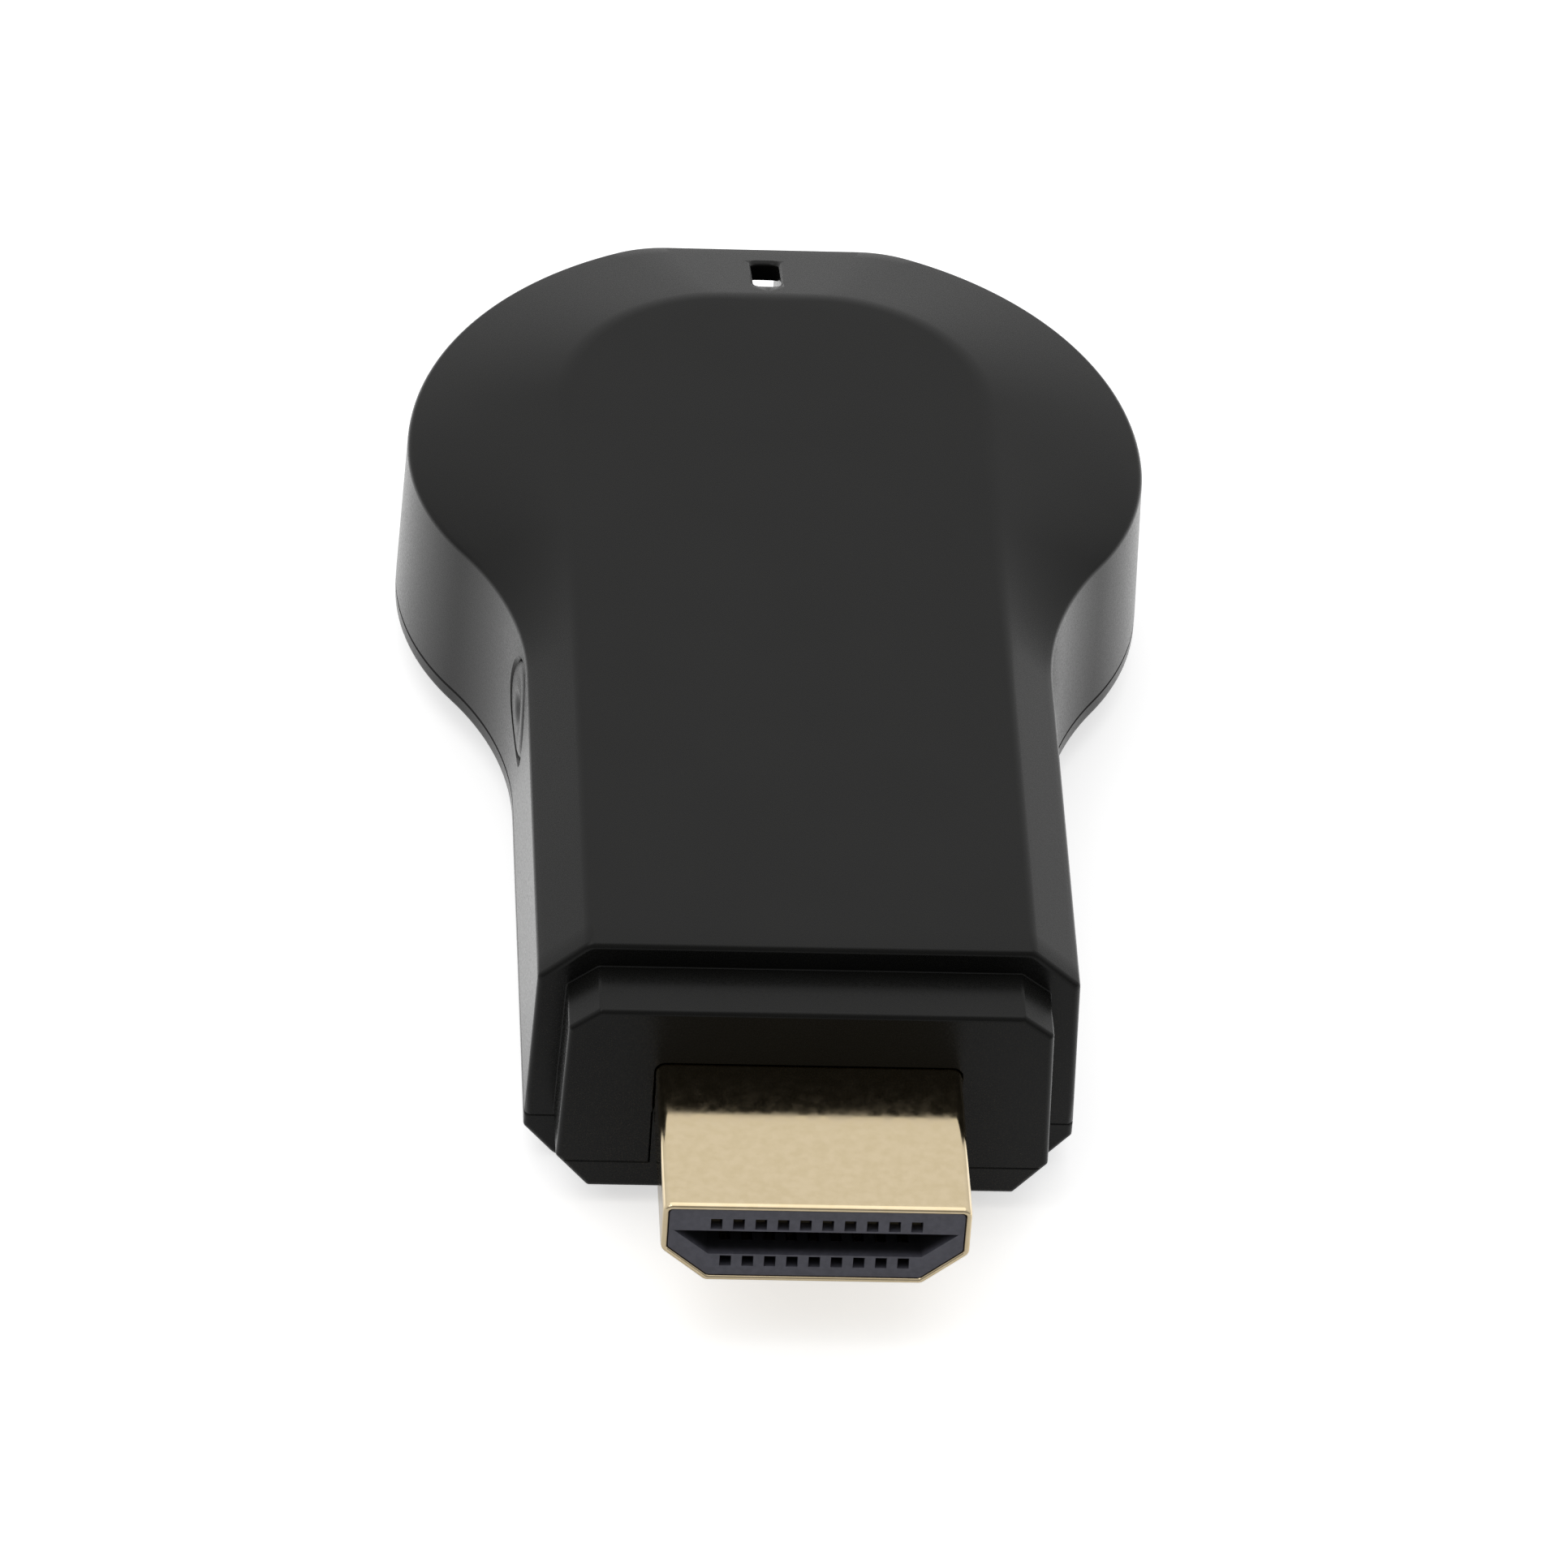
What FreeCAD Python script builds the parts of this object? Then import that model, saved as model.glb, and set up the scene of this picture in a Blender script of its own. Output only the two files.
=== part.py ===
# Wireless display dongle: a plug-in stick with an HDMI plug, a straight neck and a round head.
# Millimetres. X is across the stick, Y runs from the plug tip to the head, Z is up.
# The origin is under the middle of the whole length, on the surface that the stick rests on.
import FreeCAD
import Part
import math
import os
from FreeCAD import Vector

os.makedirs("parts", exist_ok=True)

# Casing, seen from above
neck_width = 24.7
head_diameter = 35.2
head_front_radius = 14.0
neck_blend_radius = 16.0
head_centre_from_front = 39.1
far_flat_width = 11.7

# Casing, seen from the side
casing_height = 12.7
top_slope_height = 2.0
bottom_slope_height = 1.75
parting_height = 2.5
wall = 1.3
wall_draft = 0.25

# Flat strip on the top and the bottom, between the slopes
side_slope_width = 2.25
bottom_slope_width = 1.5
crown_far_margin = 6.5
crown_corner_radius = 8.0

# Collar that steps out of the casing round the plug
collar_step_in = 1.35
collar_depth = 3.15
collar_step_down = 1.25
collar_step_up = 0.95
collar_top_corner_across = 1.4
collar_top_corner_down = 1.1
collar_bottom_corner_across = 1.5
collar_bottom_corner_up = 1.75
collar_flare = 0.3

# HDMI type A plug
plug_width = 13.9
plug_height = 4.45
plug_side_height = 2.65
plug_base_width = 9.8
plug_wall = 0.3
plug_corner_radius = 0.55
plug_exposed = 9.7
plug_axis_below_middle = 0.2
plug_flange_height = 0.8
plug_flange_thickness = 0.4
plug_fit = 0.1

# Moulding and contacts in the plug
insulator_recess = 0.1
insulator_fit = 0.02
insulator_tail = 0.5
tongue_slot_height = 1.36
tongue_slot_top_width = 12.8
tongue_slot_base_width = 9.6
tongue_slot_depth = 8.3
contact_pitch = 1.0
contact_width = 0.4
contact_thickness = 0.2
contact_height = 0.8
contact_groove_width = 0.52
contact_groove_height = 0.6
contact_tail = 1.6
contact_bend = 0.35
front_lip = 1.0
upper_contact_count = 10
lower_contact_count = 9

# Board
board_thickness = 1.0
board_edge_gap = 0.5
board_front_gap = 0.3
board_clearance = 0.05
post_radius = 1.5
neck_post_from_side = 4.35
neck_post_from_front = 8.4
head_post_from_side = 5.6
head_post_from_centre = 2.4
pin_radius = 0.9
pin_fit = 0.1
pin_height = 0.9
pin_socket_gap = 0.2

# Lip and snaps that hold the two halves together
lip_thickness = 0.7
lip_height = 1.0
lip_fit = 0.05
snap_length = 3.0
snap_reach = 0.3
snap_height = 0.6
snap_fit = 0.12
neck_snap_from_front = 12.5
far_snap_x = 3.6

# Lanyard eye in the far face
eye_width = 1.5
eye_length = 3.05
eye_bar = 1.9
eye_floor_below_top = 4.8
eye_wall = 1.0
eye_bar_inner_height = 1.1
eye_bar_outer_height = 1.7

# Mode button and the switch behind it
button_from_front = 23.15
button_diameter = 4.6
button_fit = 0.1
button_travel = 0.25
button_hole_mouth = 5.3
button_hole_lead = 0.15
button_stand_out = 0.3
button_edge = 0.25
button_dimple_diameter = 2.4
button_dimple_depth = 0.25
button_guide_wall = 0.8
button_guide_depth = 0.8
button_flange_diameter = 5.8
button_flange_thickness = 0.55
button_stop_gap = 0.1
plunger_diameter = 1.4
plunger_reach = 0.8
switch_length = 3.0
switch_width = 3.6
switch_height = 2.0
switch_gap = 0.7
switch_front_wall = 0.6
switch_chamber_width = 2.7
switch_chamber_height = 1.5
switch_chamber_depth = 1.0
switch_sheet = 0.15
dome_radius = 0.7
dome_height = 0.3
dome_thickness = 0.1
terminal_length = 0.6
terminal_width = 0.5
board_notch_gap = 0.5

# Micro-USB inlet in the right side of the neck
inlet_from_front = 15.0
inlet_width = 7.5
inlet_height = 2.5
inlet_side_height = 1.35
inlet_base_width = 5.7
inlet_sheet = 0.25
inlet_corner_radius = 0.4
inlet_depth = 5.0
inlet_sink = 0.75
inlet_fit = 0.15
inlet_back_block = 1.6
inlet_tongue_width = 3.7
inlet_tongue_thickness = 0.6
inlet_tongue_length = 2.6
inlet_contact_pitch = 0.65
inlet_contact_width = 0.35
inlet_contact_thickness = 0.12
inlet_contact_tail = 0.4
inlet_contact_count = 5

# Chips: across, along, high
processor_length = 12.0
processor_height = 1.2
processor_from_front = 15.0
pad_size = (10.0, 10.0, 0.8)
spreader_length = 22.0
spreader_thickness = 0.8
spreader_from_switch = 0.4
spreader_rib_thickness = 1.2
spreader_rib_spacing = 14.0
memory_size = (7.5, 13.0, 1.0)
flash_size = (5.3, 5.2, 1.9)
flash_leg_reach = 0.9
wifi_chip_size = (6.0, 6.0, 0.9)
shield_size = (13.0, 11.0, 2.0)
shield_sheet = 0.2
crystal_size = (3.2, 2.5, 0.8)
inductor_size = (4.0, 4.0, 1.8)
regulator_size = (2.9, 1.6, 1.1)
bulk_capacitor_size = (3.5, 2.8, 1.9)
ceramic_size = (0.5, 1.0, 0.5)
resistor_size = (0.5, 1.0, 0.35)
esd_size = (2.5, 1.0, 0.6)
antenna_trace = 0.5
antenna_copper = 0.05
antenna_pitch = 1.2
antenna_length = 5.0
antenna_legs = 6
antenna_gap_from_eye = 0.75
antenna_before_far_face = 4.4

# Where the small parts sit on the board, and how many there are
part_gap = 0.1
wifi_x = 3.0
wifi_before_head_centre = 0.7
wifi_chip_offset = -2.0
wifi_crystal_offset = 3.7
flash_from_shield = 1.15
flash_before_head_centre = 2.6
leg_width = 0.4
flash_legs = 4
regulator_legs = 2
regulator_leg_reach = 0.5
regulator_after_inlet = 1.2
inductor_after_regulator = 1.2
inductor_gap = 0.6
inductor_count = 2
bulk_capacitor_gap = 0.6
bulk_capacitor_count = 2
system_crystal_before_processor = 2.0
ceramic_after_memory = 1.5
ceramic_pitch = 1.5
ceramic_count = 6
resistor_after_contacts = 3.6
resistor_pitch = 1.0
resistor_count = 10
esd_after_contacts = 1.4
esd_pitch = 3.2
esd_count = 3

# Places worked out from the sizes above
far_face_from_head_centre = math.sqrt((head_diameter / 2) ** 2 - (far_flat_width / 2) ** 2)
crown_width = neck_width - 2 * side_slope_width
bottom_flat_widening = side_slope_width + wall_draft - bottom_slope_width
collar_width = neck_width - 2 * collar_step_in
plug_axis_height = casing_height / 2 - plug_axis_below_middle
eye_floor_height = casing_height - eye_floor_below_top
total_length = plug_exposed + collar_depth + head_centre_from_front + far_face_from_head_centre + wall_draft
tip_y = -total_length / 2
collar_y = tip_y + plug_exposed
front_y = collar_y + collar_depth
head_y = front_y + head_centre_from_front
far_y = head_y + far_face_from_head_centre
blend_centre_x = neck_width / 2 + neck_blend_radius
head_front_centre_x = head_diameter / 2 - head_front_radius
blend_reach = head_front_radius + neck_blend_radius
blend_y = head_y - math.sqrt(blend_reach ** 2 - (blend_centre_x - head_front_centre_x) ** 2)
rim_height = casing_height - top_slope_height
front_wall_y = front_y + wall
flange_front_y = front_wall_y + board_clearance
flange_back_y = flange_front_y + plug_flange_thickness
insulator_back_y = flange_back_y + insulator_tail
board_front_y = insulator_back_y + board_front_gap
board_top = plug_axis_height + board_thickness / 2
board_bottom = plug_axis_height - board_thickness / 2
board_inset = wall + board_edge_gap
neck_post_y = front_y + neck_post_from_front
head_post_y = head_y + head_post_from_centre
processor_y = front_y + processor_from_front
button_y = front_y + button_from_front
button_z = board_top + switch_height / 2
side_x = neck_width / 2
neck_post_x = side_x - neck_post_from_side
head_post_x = head_diameter / 2 - head_post_from_side
inlet_y = front_y + inlet_from_front
inlet_z = board_top + inlet_height / 2
inlet_front_x = side_x - inlet_sink
inlet_back_x = inlet_front_x - inlet_depth
inlet_foot_x = inlet_back_x - inlet_contact_thickness - inlet_contact_tail
side_parts_x = side_x - wall - lip_fit - lip_thickness - part_gap - inductor_size[0] / 2
button_front_x = -side_x - button_stand_out
guide_inner_x = -side_x + wall + button_guide_depth
flange_x = guide_inner_x + button_stop_gap
cap_back_x = flange_x + button_flange_thickness
switch_front_x = cap_back_x + switch_gap
switch_back_x = switch_front_x + switch_length
processor_size = (2 * (inlet_foot_x - part_gap), processor_length, processor_height)
spreader_size = (2 * (-switch_back_x - spreader_from_switch), spreader_length, spreader_thickness)
flash_x = wifi_x - shield_size[0] / 2 - flash_from_shield - flash_leg_reach - flash_size[0] / 2


# Shape helpers

def box(x0, x1, y0, y1, z0, z1):
    return Part.makeBox(x1 - x0, y1 - y0, z1 - z0, Vector(x0, y0, z0))


def chip(size, x, y, z):
    """A flat block, centred at x and y, standing on height z."""
    return box(x - size[0] / 2, x + size[0] / 2, y - size[1] / 2, y + size[1] / 2, z, z + size[2])


def steps(count, pitch):
    """Evenly spaced places, centred on zero."""
    return [(i - (count - 1) / 2) * pitch for i in range(count)]


def row(size, count, pitch, y, z):
    """Equal blocks side by side across the stick."""
    return [chip(size, x, y, z) for x in steps(count, pitch)]


def rounded_wire(corners, radii, place):
    """A closed outline through the corners, each rounded by its radius, set in space by place."""
    count = len(corners)
    starts = []
    middles = []
    ends = []
    for i in range(count):
        here = Vector(corners[i][0], corners[i][1], 0)
        to_last = Vector(corners[i - 1][0], corners[i - 1][1], 0) - here
        to_next = Vector(corners[(i + 1) % count][0], corners[(i + 1) % count][1], 0) - here
        to_last.normalize()
        to_next.normalize()
        half = to_last.getAngle(to_next) / 2
        radius = radii[i]
        inward = (to_last + to_next).normalize()
        starts.append(here + to_last * (radius / math.tan(half)))
        middles.append(here + inward * (radius / math.sin(half) - radius))
        ends.append(here + to_next * (radius / math.tan(half)))
    edges = []
    for i in range(count):
        if radii[i] > 0:
            arc = Part.Arc(place(starts[i]), place(middles[i]), place(ends[i]))
            edges.append(arc.toShape())
        edges.append(Part.makeLine(place(ends[i]), place(starts[(i + 1) % count])))
    return Part.Wire(edges)


def plate(wire, direction):
    """A solid drawn out of a closed flat outline."""
    return Part.Face(wire).extrude(direction)


def facing_plug(y):
    """Sets an outline's across and up on the plane at y."""
    return lambda point: Vector(point.x, y, point.y)


def facing_side(x):
    """Sets an outline's along and up on the plane at x."""
    return lambda point: Vector(x, point.x, point.y)


def taper_corners(width, height, side, base, grow):
    """Corners of a plug outline about its own middle: straight sides, then slants to a narrower base."""
    lean = math.atan2((width - base) / 2, height - side)
    across = width / 2 + grow
    top = height / 2 + grow
    shoulder = height / 2 - side - grow * math.tan(lean / 2)
    foot = base / 2 + grow * math.tan((math.pi / 2 - lean) / 2)
    right = [(across, top), (across, shoulder), (foot, -top)]
    return [(-across, top)] + right + [(-foot, -top), (-across, shoulder)]


def plug_solid(grow, y0, y1):
    corners = taper_corners(plug_width, plug_height, plug_side_height, plug_base_width, grow)
    corners = [(x, z + plug_axis_height) for x, z in corners]
    radius = plug_corner_radius + grow
    wire = rounded_wire(corners, [radius] * len(corners), facing_plug(y0))
    return plate(wire, Vector(0, y1 - y0, 0))


def inlet_solid(grow, x0, x1):
    corners = taper_corners(inlet_width, inlet_height, inlet_side_height, inlet_base_width, grow)
    corners = [(y + inlet_y, z + inlet_z) for y, z in corners]
    radius = inlet_corner_radius + grow
    wire = rounded_wire(corners, [radius] * len(corners), facing_side(x0))
    return plate(wire, Vector(x1 - x0, 0, 0))


def turned(profile, y, z):
    """A solid turned about an axis along X through y and z, from (x, radius) corners."""
    points = [Vector(x, y, z + radius) for x, radius in profile]
    points.append(points[0])
    face = Part.Face(Part.makePolygon(points))
    return face.revolve(Vector(0, y, z), Vector(1, 0, 0), 360)


# Casing outlines

def blend_end(inset):
    """Where the curve out of the neck's side meets the tighter curve on the head's near half."""
    share = (head_front_radius - inset) / blend_reach
    across = share * (blend_centre_x - head_front_centre_x)
    return head_front_centre_x + across, head_y - share * (head_y - blend_y)


def body_wire(z, inset, front):
    """The casing's outline at height z: neck, curve, head and flat far face."""
    half = neck_width / 2 - inset
    radius = head_diameter / 2 - inset
    hollow = neck_blend_radius + inset
    far = far_y - inset
    corner_x = math.sqrt(radius ** 2 - (far - head_y) ** 2)
    end_x, end_y = blend_end(inset)
    near = head_front_radius - inset
    turn = math.atan2(head_y - blend_y, blend_centre_x - head_front_centre_x) / 2
    curve_mid = Vector(blend_centre_x - hollow * math.cos(turn), blend_y + hollow * math.sin(turn), z)
    low_mid = Vector(head_front_centre_x + near * math.cos(turn), head_y - near * math.sin(turn), z)
    high = math.atan2(far - head_y, corner_x) / 2
    high_mid = Vector(radius * math.cos(high), head_y + radius * math.sin(high), z)
    right = [Vector(half, front, z), Vector(half, blend_y, z), Vector(end_x, end_y, z)]
    right += [Vector(radius, head_y, z), Vector(corner_x, far, z)]
    return mirrored_wire(right, [None, curve_mid, low_mid, high_mid])


def crown_wire(z, inset, front):
    """The flat strip's outline, with one edge for each edge of the casing's outline."""
    half = crown_width / 2 - inset
    far = far_y - crown_far_margin - inset
    radius = crown_corner_radius - inset
    end_y = blend_end(inset)[1]
    corner_mid = Vector(half - radius + radius * math.sqrt(0.5), far - radius + radius * math.sqrt(0.5), z)
    right = [Vector(half, front, z), Vector(half, blend_y, z), Vector(half, end_y, z)]
    right += [Vector(half, far - radius, z), Vector(half - radius, far, z)]
    return mirrored_wire(right, [None, None, None, corner_mid])


def mirrored_wire(right, mids):
    """A closed outline from its right side: lines, and arcs where a middle point is given."""
    def flip(point):
        return Vector(-point.x, point.y, point.z)

    edges = [Part.makeLine(flip(right[0]), right[0])]
    for start, mid, end in zip(right, mids, right[1:]):
        edges.append(Part.Arc(start, mid, end).toShape() if mid else Part.makeLine(start, end))
    edges.append(Part.makeLine(right[-1], flip(right[-1])))
    for start, mid, end in reversed(list(zip(right, mids, right[1:]))):
        if mid:
            edges.append(Part.Arc(flip(end), flip(mid), flip(start)).toShape())
        else:
            edges.append(Part.makeLine(flip(end), flip(start)))
    return Part.Wire(edges)


def slope_drop(slope_width, slope_height):
    """How far the inner corner of a slope lies below the outer one, for the same wall all round."""
    lean = math.atan2(slope_width, slope_height)
    return wall * math.tan(lean / 2)


def slope_inset(slope_width, slope_height):
    lean = math.atan2(slope_width, slope_height)
    return wall * math.tan((math.pi / 2 - lean) / 2)


def body_prism(inset, front, z0, z1):
    return plate(body_wire(z0, inset, front), Vector(0, 0, z1 - z0))


def slope(body_z, body_inset, crown_z, crown_inset, front):
    """The solid between the casing's outline at one height and the flat strip at another."""
    wires = [body_wire(body_z, body_inset, front), crown_wire(crown_z, crown_inset, front)]
    return Part.makeLoft(wires, True, True)


def upper_hull():
    """The whole upper half, unhollowed. Its sides lean out a little from the rim down to the seam."""
    lower = Part.makeLoft([body_wire(parting_height, -wall_draft, front_y), body_wire(rim_height, 0, front_y)],
                          True, True)
    return lower.fuse(slope(rim_height, 0, casing_height, 0, front_y))


def upper_hollow():
    """The room inside the upper half. Its sides are upright, so the lip and the snaps stand square."""
    inner_rim = rim_height - slope_drop(side_slope_width, top_slope_height)
    lower = body_prism(wall, front_wall_y, parting_height, inner_rim)
    inset = slope_inset(side_slope_width, top_slope_height)
    return lower.fuse(slope(inner_rim, wall, casing_height - wall, inset, front_wall_y))


def lower_hull():
    upper = body_prism(-wall_draft, front_y, bottom_slope_height, parting_height)
    return upper.fuse(slope(bottom_slope_height, -wall_draft, 0, -bottom_flat_widening, front_y))


def lower_hollow():
    inner_rim = bottom_slope_height + slope_drop(bottom_slope_width, bottom_slope_height)
    inset = slope_inset(bottom_slope_width, bottom_slope_height) - bottom_flat_widening
    floor = slope(inner_rim, wall, wall, inset, front_wall_y)
    return floor.fuse(body_prism(wall, front_wall_y, inner_rim, casing_height))


# Collar

def collar_wire(y, grow):
    half = collar_width / 2 + grow
    top = casing_height - collar_step_down + grow
    bottom = collar_step_up - grow
    top_lean = math.atan2(collar_top_corner_across, collar_top_corner_down)
    bottom_lean = math.atan2(collar_bottom_corner_across, collar_bottom_corner_up)
    top_x = half - collar_top_corner_across - grow + grow * math.tan((math.pi / 2 - top_lean) / 2)
    top_z = top - grow - collar_top_corner_down + grow * math.tan(top_lean / 2)
    low_half = half + wall_draft
    bottom_x = low_half - collar_bottom_corner_across - grow + grow * math.tan((math.pi / 2 - bottom_lean) / 2)
    bottom_z = bottom + grow + collar_bottom_corner_up - grow * math.tan(bottom_lean / 2)
    right = [(bottom_x, bottom), (low_half, bottom_z), (half, top_z), (top_x, top)]
    corners = right + [(-x, z) for x, z in reversed(right)]
    return rounded_wire(corners, [0] * len(corners), facing_plug(y))


def collar_solid():
    """The collar with the flare at its root, running back through the casing's front wall."""
    straight = plate(collar_wire(collar_y, 0), Vector(0, front_wall_y - collar_y, 0))
    flare_wires = [collar_wire(front_y - collar_flare, 0), collar_wire(front_y, collar_flare)]
    return straight.fuse(Part.makeLoft(flare_wires, True, True))


def below_plug(gap, z0):
    """The block under the plug that the lower half fills, from height z0 up to the plug's middle."""
    half = plug_width / 2 + plug_fit - gap
    return box(-half, half, collar_y, front_wall_y, z0, plug_axis_height)


# Posts, lip and snaps

def post(x, y, radius, z0, z1):
    return Part.makeCylinder(radius, z1 - z0, Vector(x, y, z0))


def post_places():
    places = []
    for side in (-1, 1):
        places.append((side * neck_post_x, neck_post_y, False))
        places.append((side * head_post_x, head_post_y, True))
    return places


def snap_places():
    """Each snap: a point on the casing's inner wall, and the way out through that wall."""
    snap_y = front_y + neck_snap_from_front
    places = [(side * (neck_width / 2 - wall), snap_y, side, 0) for side in (-1, 1)]
    places += [(side * far_snap_x, far_y - wall, 0, 1) for side in (-1, 1)]
    return places


def snap_hook(x, y, out_x, out_y):
    """A wedge on the lip that reaches into the wall."""
    half = snap_length / 2
    low = parting_height + lip_height - snap_height - snap_fit
    inner = -lip_fit - lip_thickness / 2
    profile = [(inner, low), (snap_reach, low), (inner, low + snap_height)]
    corners = [Vector(x + out_x * u - out_y * half, y + out_y * u - out_x * half, z) for u, z in profile]
    wire = Part.makePolygon(corners + [corners[0]])
    return plate(wire, Vector(out_y * snap_length, out_x * snap_length, 0))


def snap_pocket(x, y, out_x, out_y):
    half = snap_length / 2 + snap_fit
    low = parting_height + lip_height - snap_height - 2 * snap_fit
    high = parting_height + lip_height
    reach = snap_reach + snap_fit
    x0, x1 = sorted((x - abs(out_y) * half, x + abs(out_y) * half + out_x * reach))
    y0, y1 = sorted((y - abs(out_x) * half, y + abs(out_x) * half + out_y * reach))
    return box(x0, x1, y0, y1, low, high)


def lip():
    """A rib just inside the wall, which the upper half slips over; the plug's end has none."""
    outer = body_prism(wall + lip_fit, front_wall_y, wall, parting_height + lip_height)
    inner = body_prism(wall + lip_fit + lip_thickness, front_wall_y, wall, parting_height + lip_height)
    ring = outer.cut(inner)
    return ring.common(box(-head_diameter, head_diameter, neck_post_y, far_y, 0, casing_height))


def lower_room():
    """All that the lower half's ribs and posts may fill: its own shell, and the space above it."""
    return lower_hull().fuse(body_prism(wall + lip_fit, front_wall_y, parting_height, casing_height))


# Lanyard eye

def eye_block():
    half = eye_width / 2 + eye_wall
    y0 = far_y - eye_bar - eye_length - eye_wall
    return box(-half, half, y0, far_y, eye_floor_height - eye_wall, casing_height)


def eye_tunnel():
    """The slot down through the top, and the passage under the bar out of the far face."""
    near = far_y - eye_bar - eye_length
    bar_inner = far_y - eye_bar
    top_at_bar = casing_height - top_slope_height * (crown_far_margin - eye_bar) / crown_far_margin
    inner_low = top_at_bar - eye_bar_inner_height
    outer_low = rim_height - eye_bar_outer_height
    above = casing_height + wall
    beyond = far_y + wall
    fall = (inner_low - outer_low) / eye_bar
    profile = [(near, eye_floor_height), (beyond, eye_floor_height), (beyond, outer_low - fall * wall)]
    profile += [(bar_inner, inner_low), (bar_inner, above), (near, above)]
    corners = [Vector(-eye_width / 2, y, z) for y, z in profile]
    return plate(Part.makePolygon(corners + [corners[0]]), Vector(eye_width, 0, 0))


# Button

def button_opening():
    """The guide hole through the outer wall, with a small lead-in round it."""
    outside = -head_diameter / 2
    hole = button_diameter / 2 + button_fit
    mouth = button_hole_mouth / 2
    back = guide_inner_x + wall
    profile = [(outside, 0), (outside, mouth), (-side_x - wall_draft, mouth)]
    profile += [(-side_x + button_hole_lead, hole), (back, hole), (back, 0)]
    return turned(profile, button_y, button_z)


def button_guide():
    radius = button_diameter / 2 + button_fit + button_guide_wall
    return across_rod(radius, -side_x + wall / 2, guide_inner_x)


def across_rod(radius, x0, x1):
    """A round solid along the button's axis."""
    return Part.makeCylinder(radius, x1 - x0, Vector(x0, button_y, button_z), Vector(1, 0, 0))


# The two halves of the casing

def top_shell():
    shell = upper_hull().cut(upper_hollow())
    upper_side = box(-neck_width, neck_width, collar_y, front_wall_y, parting_height, casing_height)
    shell = shell.fuse(collar_solid().common(upper_side))
    ribs = [eye_block().common(upper_hull()), button_guide()]
    ceiling = casing_height - wall / 2
    for x, y, has_pin in post_places():
        ribs.append(post(x, y, post_radius, board_top + board_clearance, ceiling).common(upper_hull()))
    rib_low = board_top + processor_size[2] + pad_size[2] + spreader_size[2] + board_clearance
    for side in (-1, 1):
        y = processor_y + side * spreader_rib_spacing / 2
        half = spreader_rib_thickness / 2
        ribs.append(box(-spreader_size[0] / 2, spreader_size[0] / 2, y - half, y + half, rib_low, ceiling))
    for rib in ribs:
        shell = shell.fuse(rib)
    for x, y, has_pin in post_places():
        if has_pin:
            socket = pin_radius + pin_socket_gap
            shell = shell.cut(post(x, y, socket, board_top, board_top + pin_height + pin_socket_gap))
    shell = shell.cut(plug_solid(plug_fit, collar_y, front_wall_y))
    shell = shell.cut(below_plug(0, parting_height))
    shell = shell.cut(eye_tunnel())
    shell = shell.cut(button_opening())
    shell = shell.cut(inlet_solid(inlet_fit, inlet_front_x - wall, side_x + wall))
    for place in snap_places():
        shell = shell.cut(snap_pocket(*place))
    return shell.removeSplitter()


def bottom_shell():
    shell = lower_hull().cut(lower_hollow())
    lower_side = box(-neck_width, neck_width, collar_y, front_wall_y, 0, parting_height)
    shell = shell.fuse(collar_solid().common(lower_side))
    shell = shell.fuse(below_plug(lip_fit, parting_height - wall))
    room = lower_room()
    shell = shell.fuse(lip().common(room))
    for place in snap_places():
        shell = shell.fuse(snap_hook(*place))
    for x, y, has_pin in post_places():
        shell = shell.fuse(post(x, y, post_radius, wall / 2, board_bottom - board_clearance).common(room))
        if has_pin:
            shell = shell.fuse(post(x, y, pin_radius, board_bottom - wall, board_top + pin_height))
    shell = shell.cut(plug_solid(plug_fit, collar_y, front_wall_y))
    return shell.removeSplitter()


# HDMI plug

def hdmi_shell():
    tube = plug_solid(0, tip_y, flange_back_y)
    flange = plug_solid(plug_flange_height, flange_front_y, flange_back_y)
    return tube.fuse(flange).cut(plug_solid(-plug_wall, tip_y, flange_back_y))


def contact_rows():
    """Each row's places across the plug, and whether it lies above or below the slot."""
    return [(steps(upper_contact_count, contact_pitch), 1), (steps(lower_contact_count, contact_pitch), -1)]


def upright(z0, z1):
    """Two heights above or below the plug's middle, lowest first."""
    return sorted((plug_axis_height + z0, plug_axis_height + z1))


def hdmi_insulator():
    front = tip_y + insulator_recess
    block = plug_solid(-plug_wall - insulator_fit, front, insulator_back_y)
    low, high = upright(-tongue_slot_height / 2, tongue_slot_height / 2)
    top_x = tongue_slot_top_width / 2
    base_x = tongue_slot_base_width / 2
    corners = [(-top_x, high), (top_x, high), (base_x, low), (-base_x, low)]
    wire = rounded_wire(corners, [0] * len(corners), facing_plug(front))
    block = block.cut(plate(wire, Vector(0, tongue_slot_depth, 0)))
    half = contact_groove_width / 2
    ledge = contact_height - insulator_fit
    for places, side in contact_rows():
        z0, z1 = upright(side * ledge, side * (ledge + contact_groove_height))
        open0, open1 = upright(side * tongue_slot_height / 4, side * (ledge + contact_groove_height))
        for x in places:
            block = block.cut(box(x - half, x + half, front, insulator_back_y, z0, z1))
            slot_end = front + tongue_slot_depth
            block = block.cut(box(x - half, x + half, front + front_lip, slot_end, open0, open1))
    return block


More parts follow.
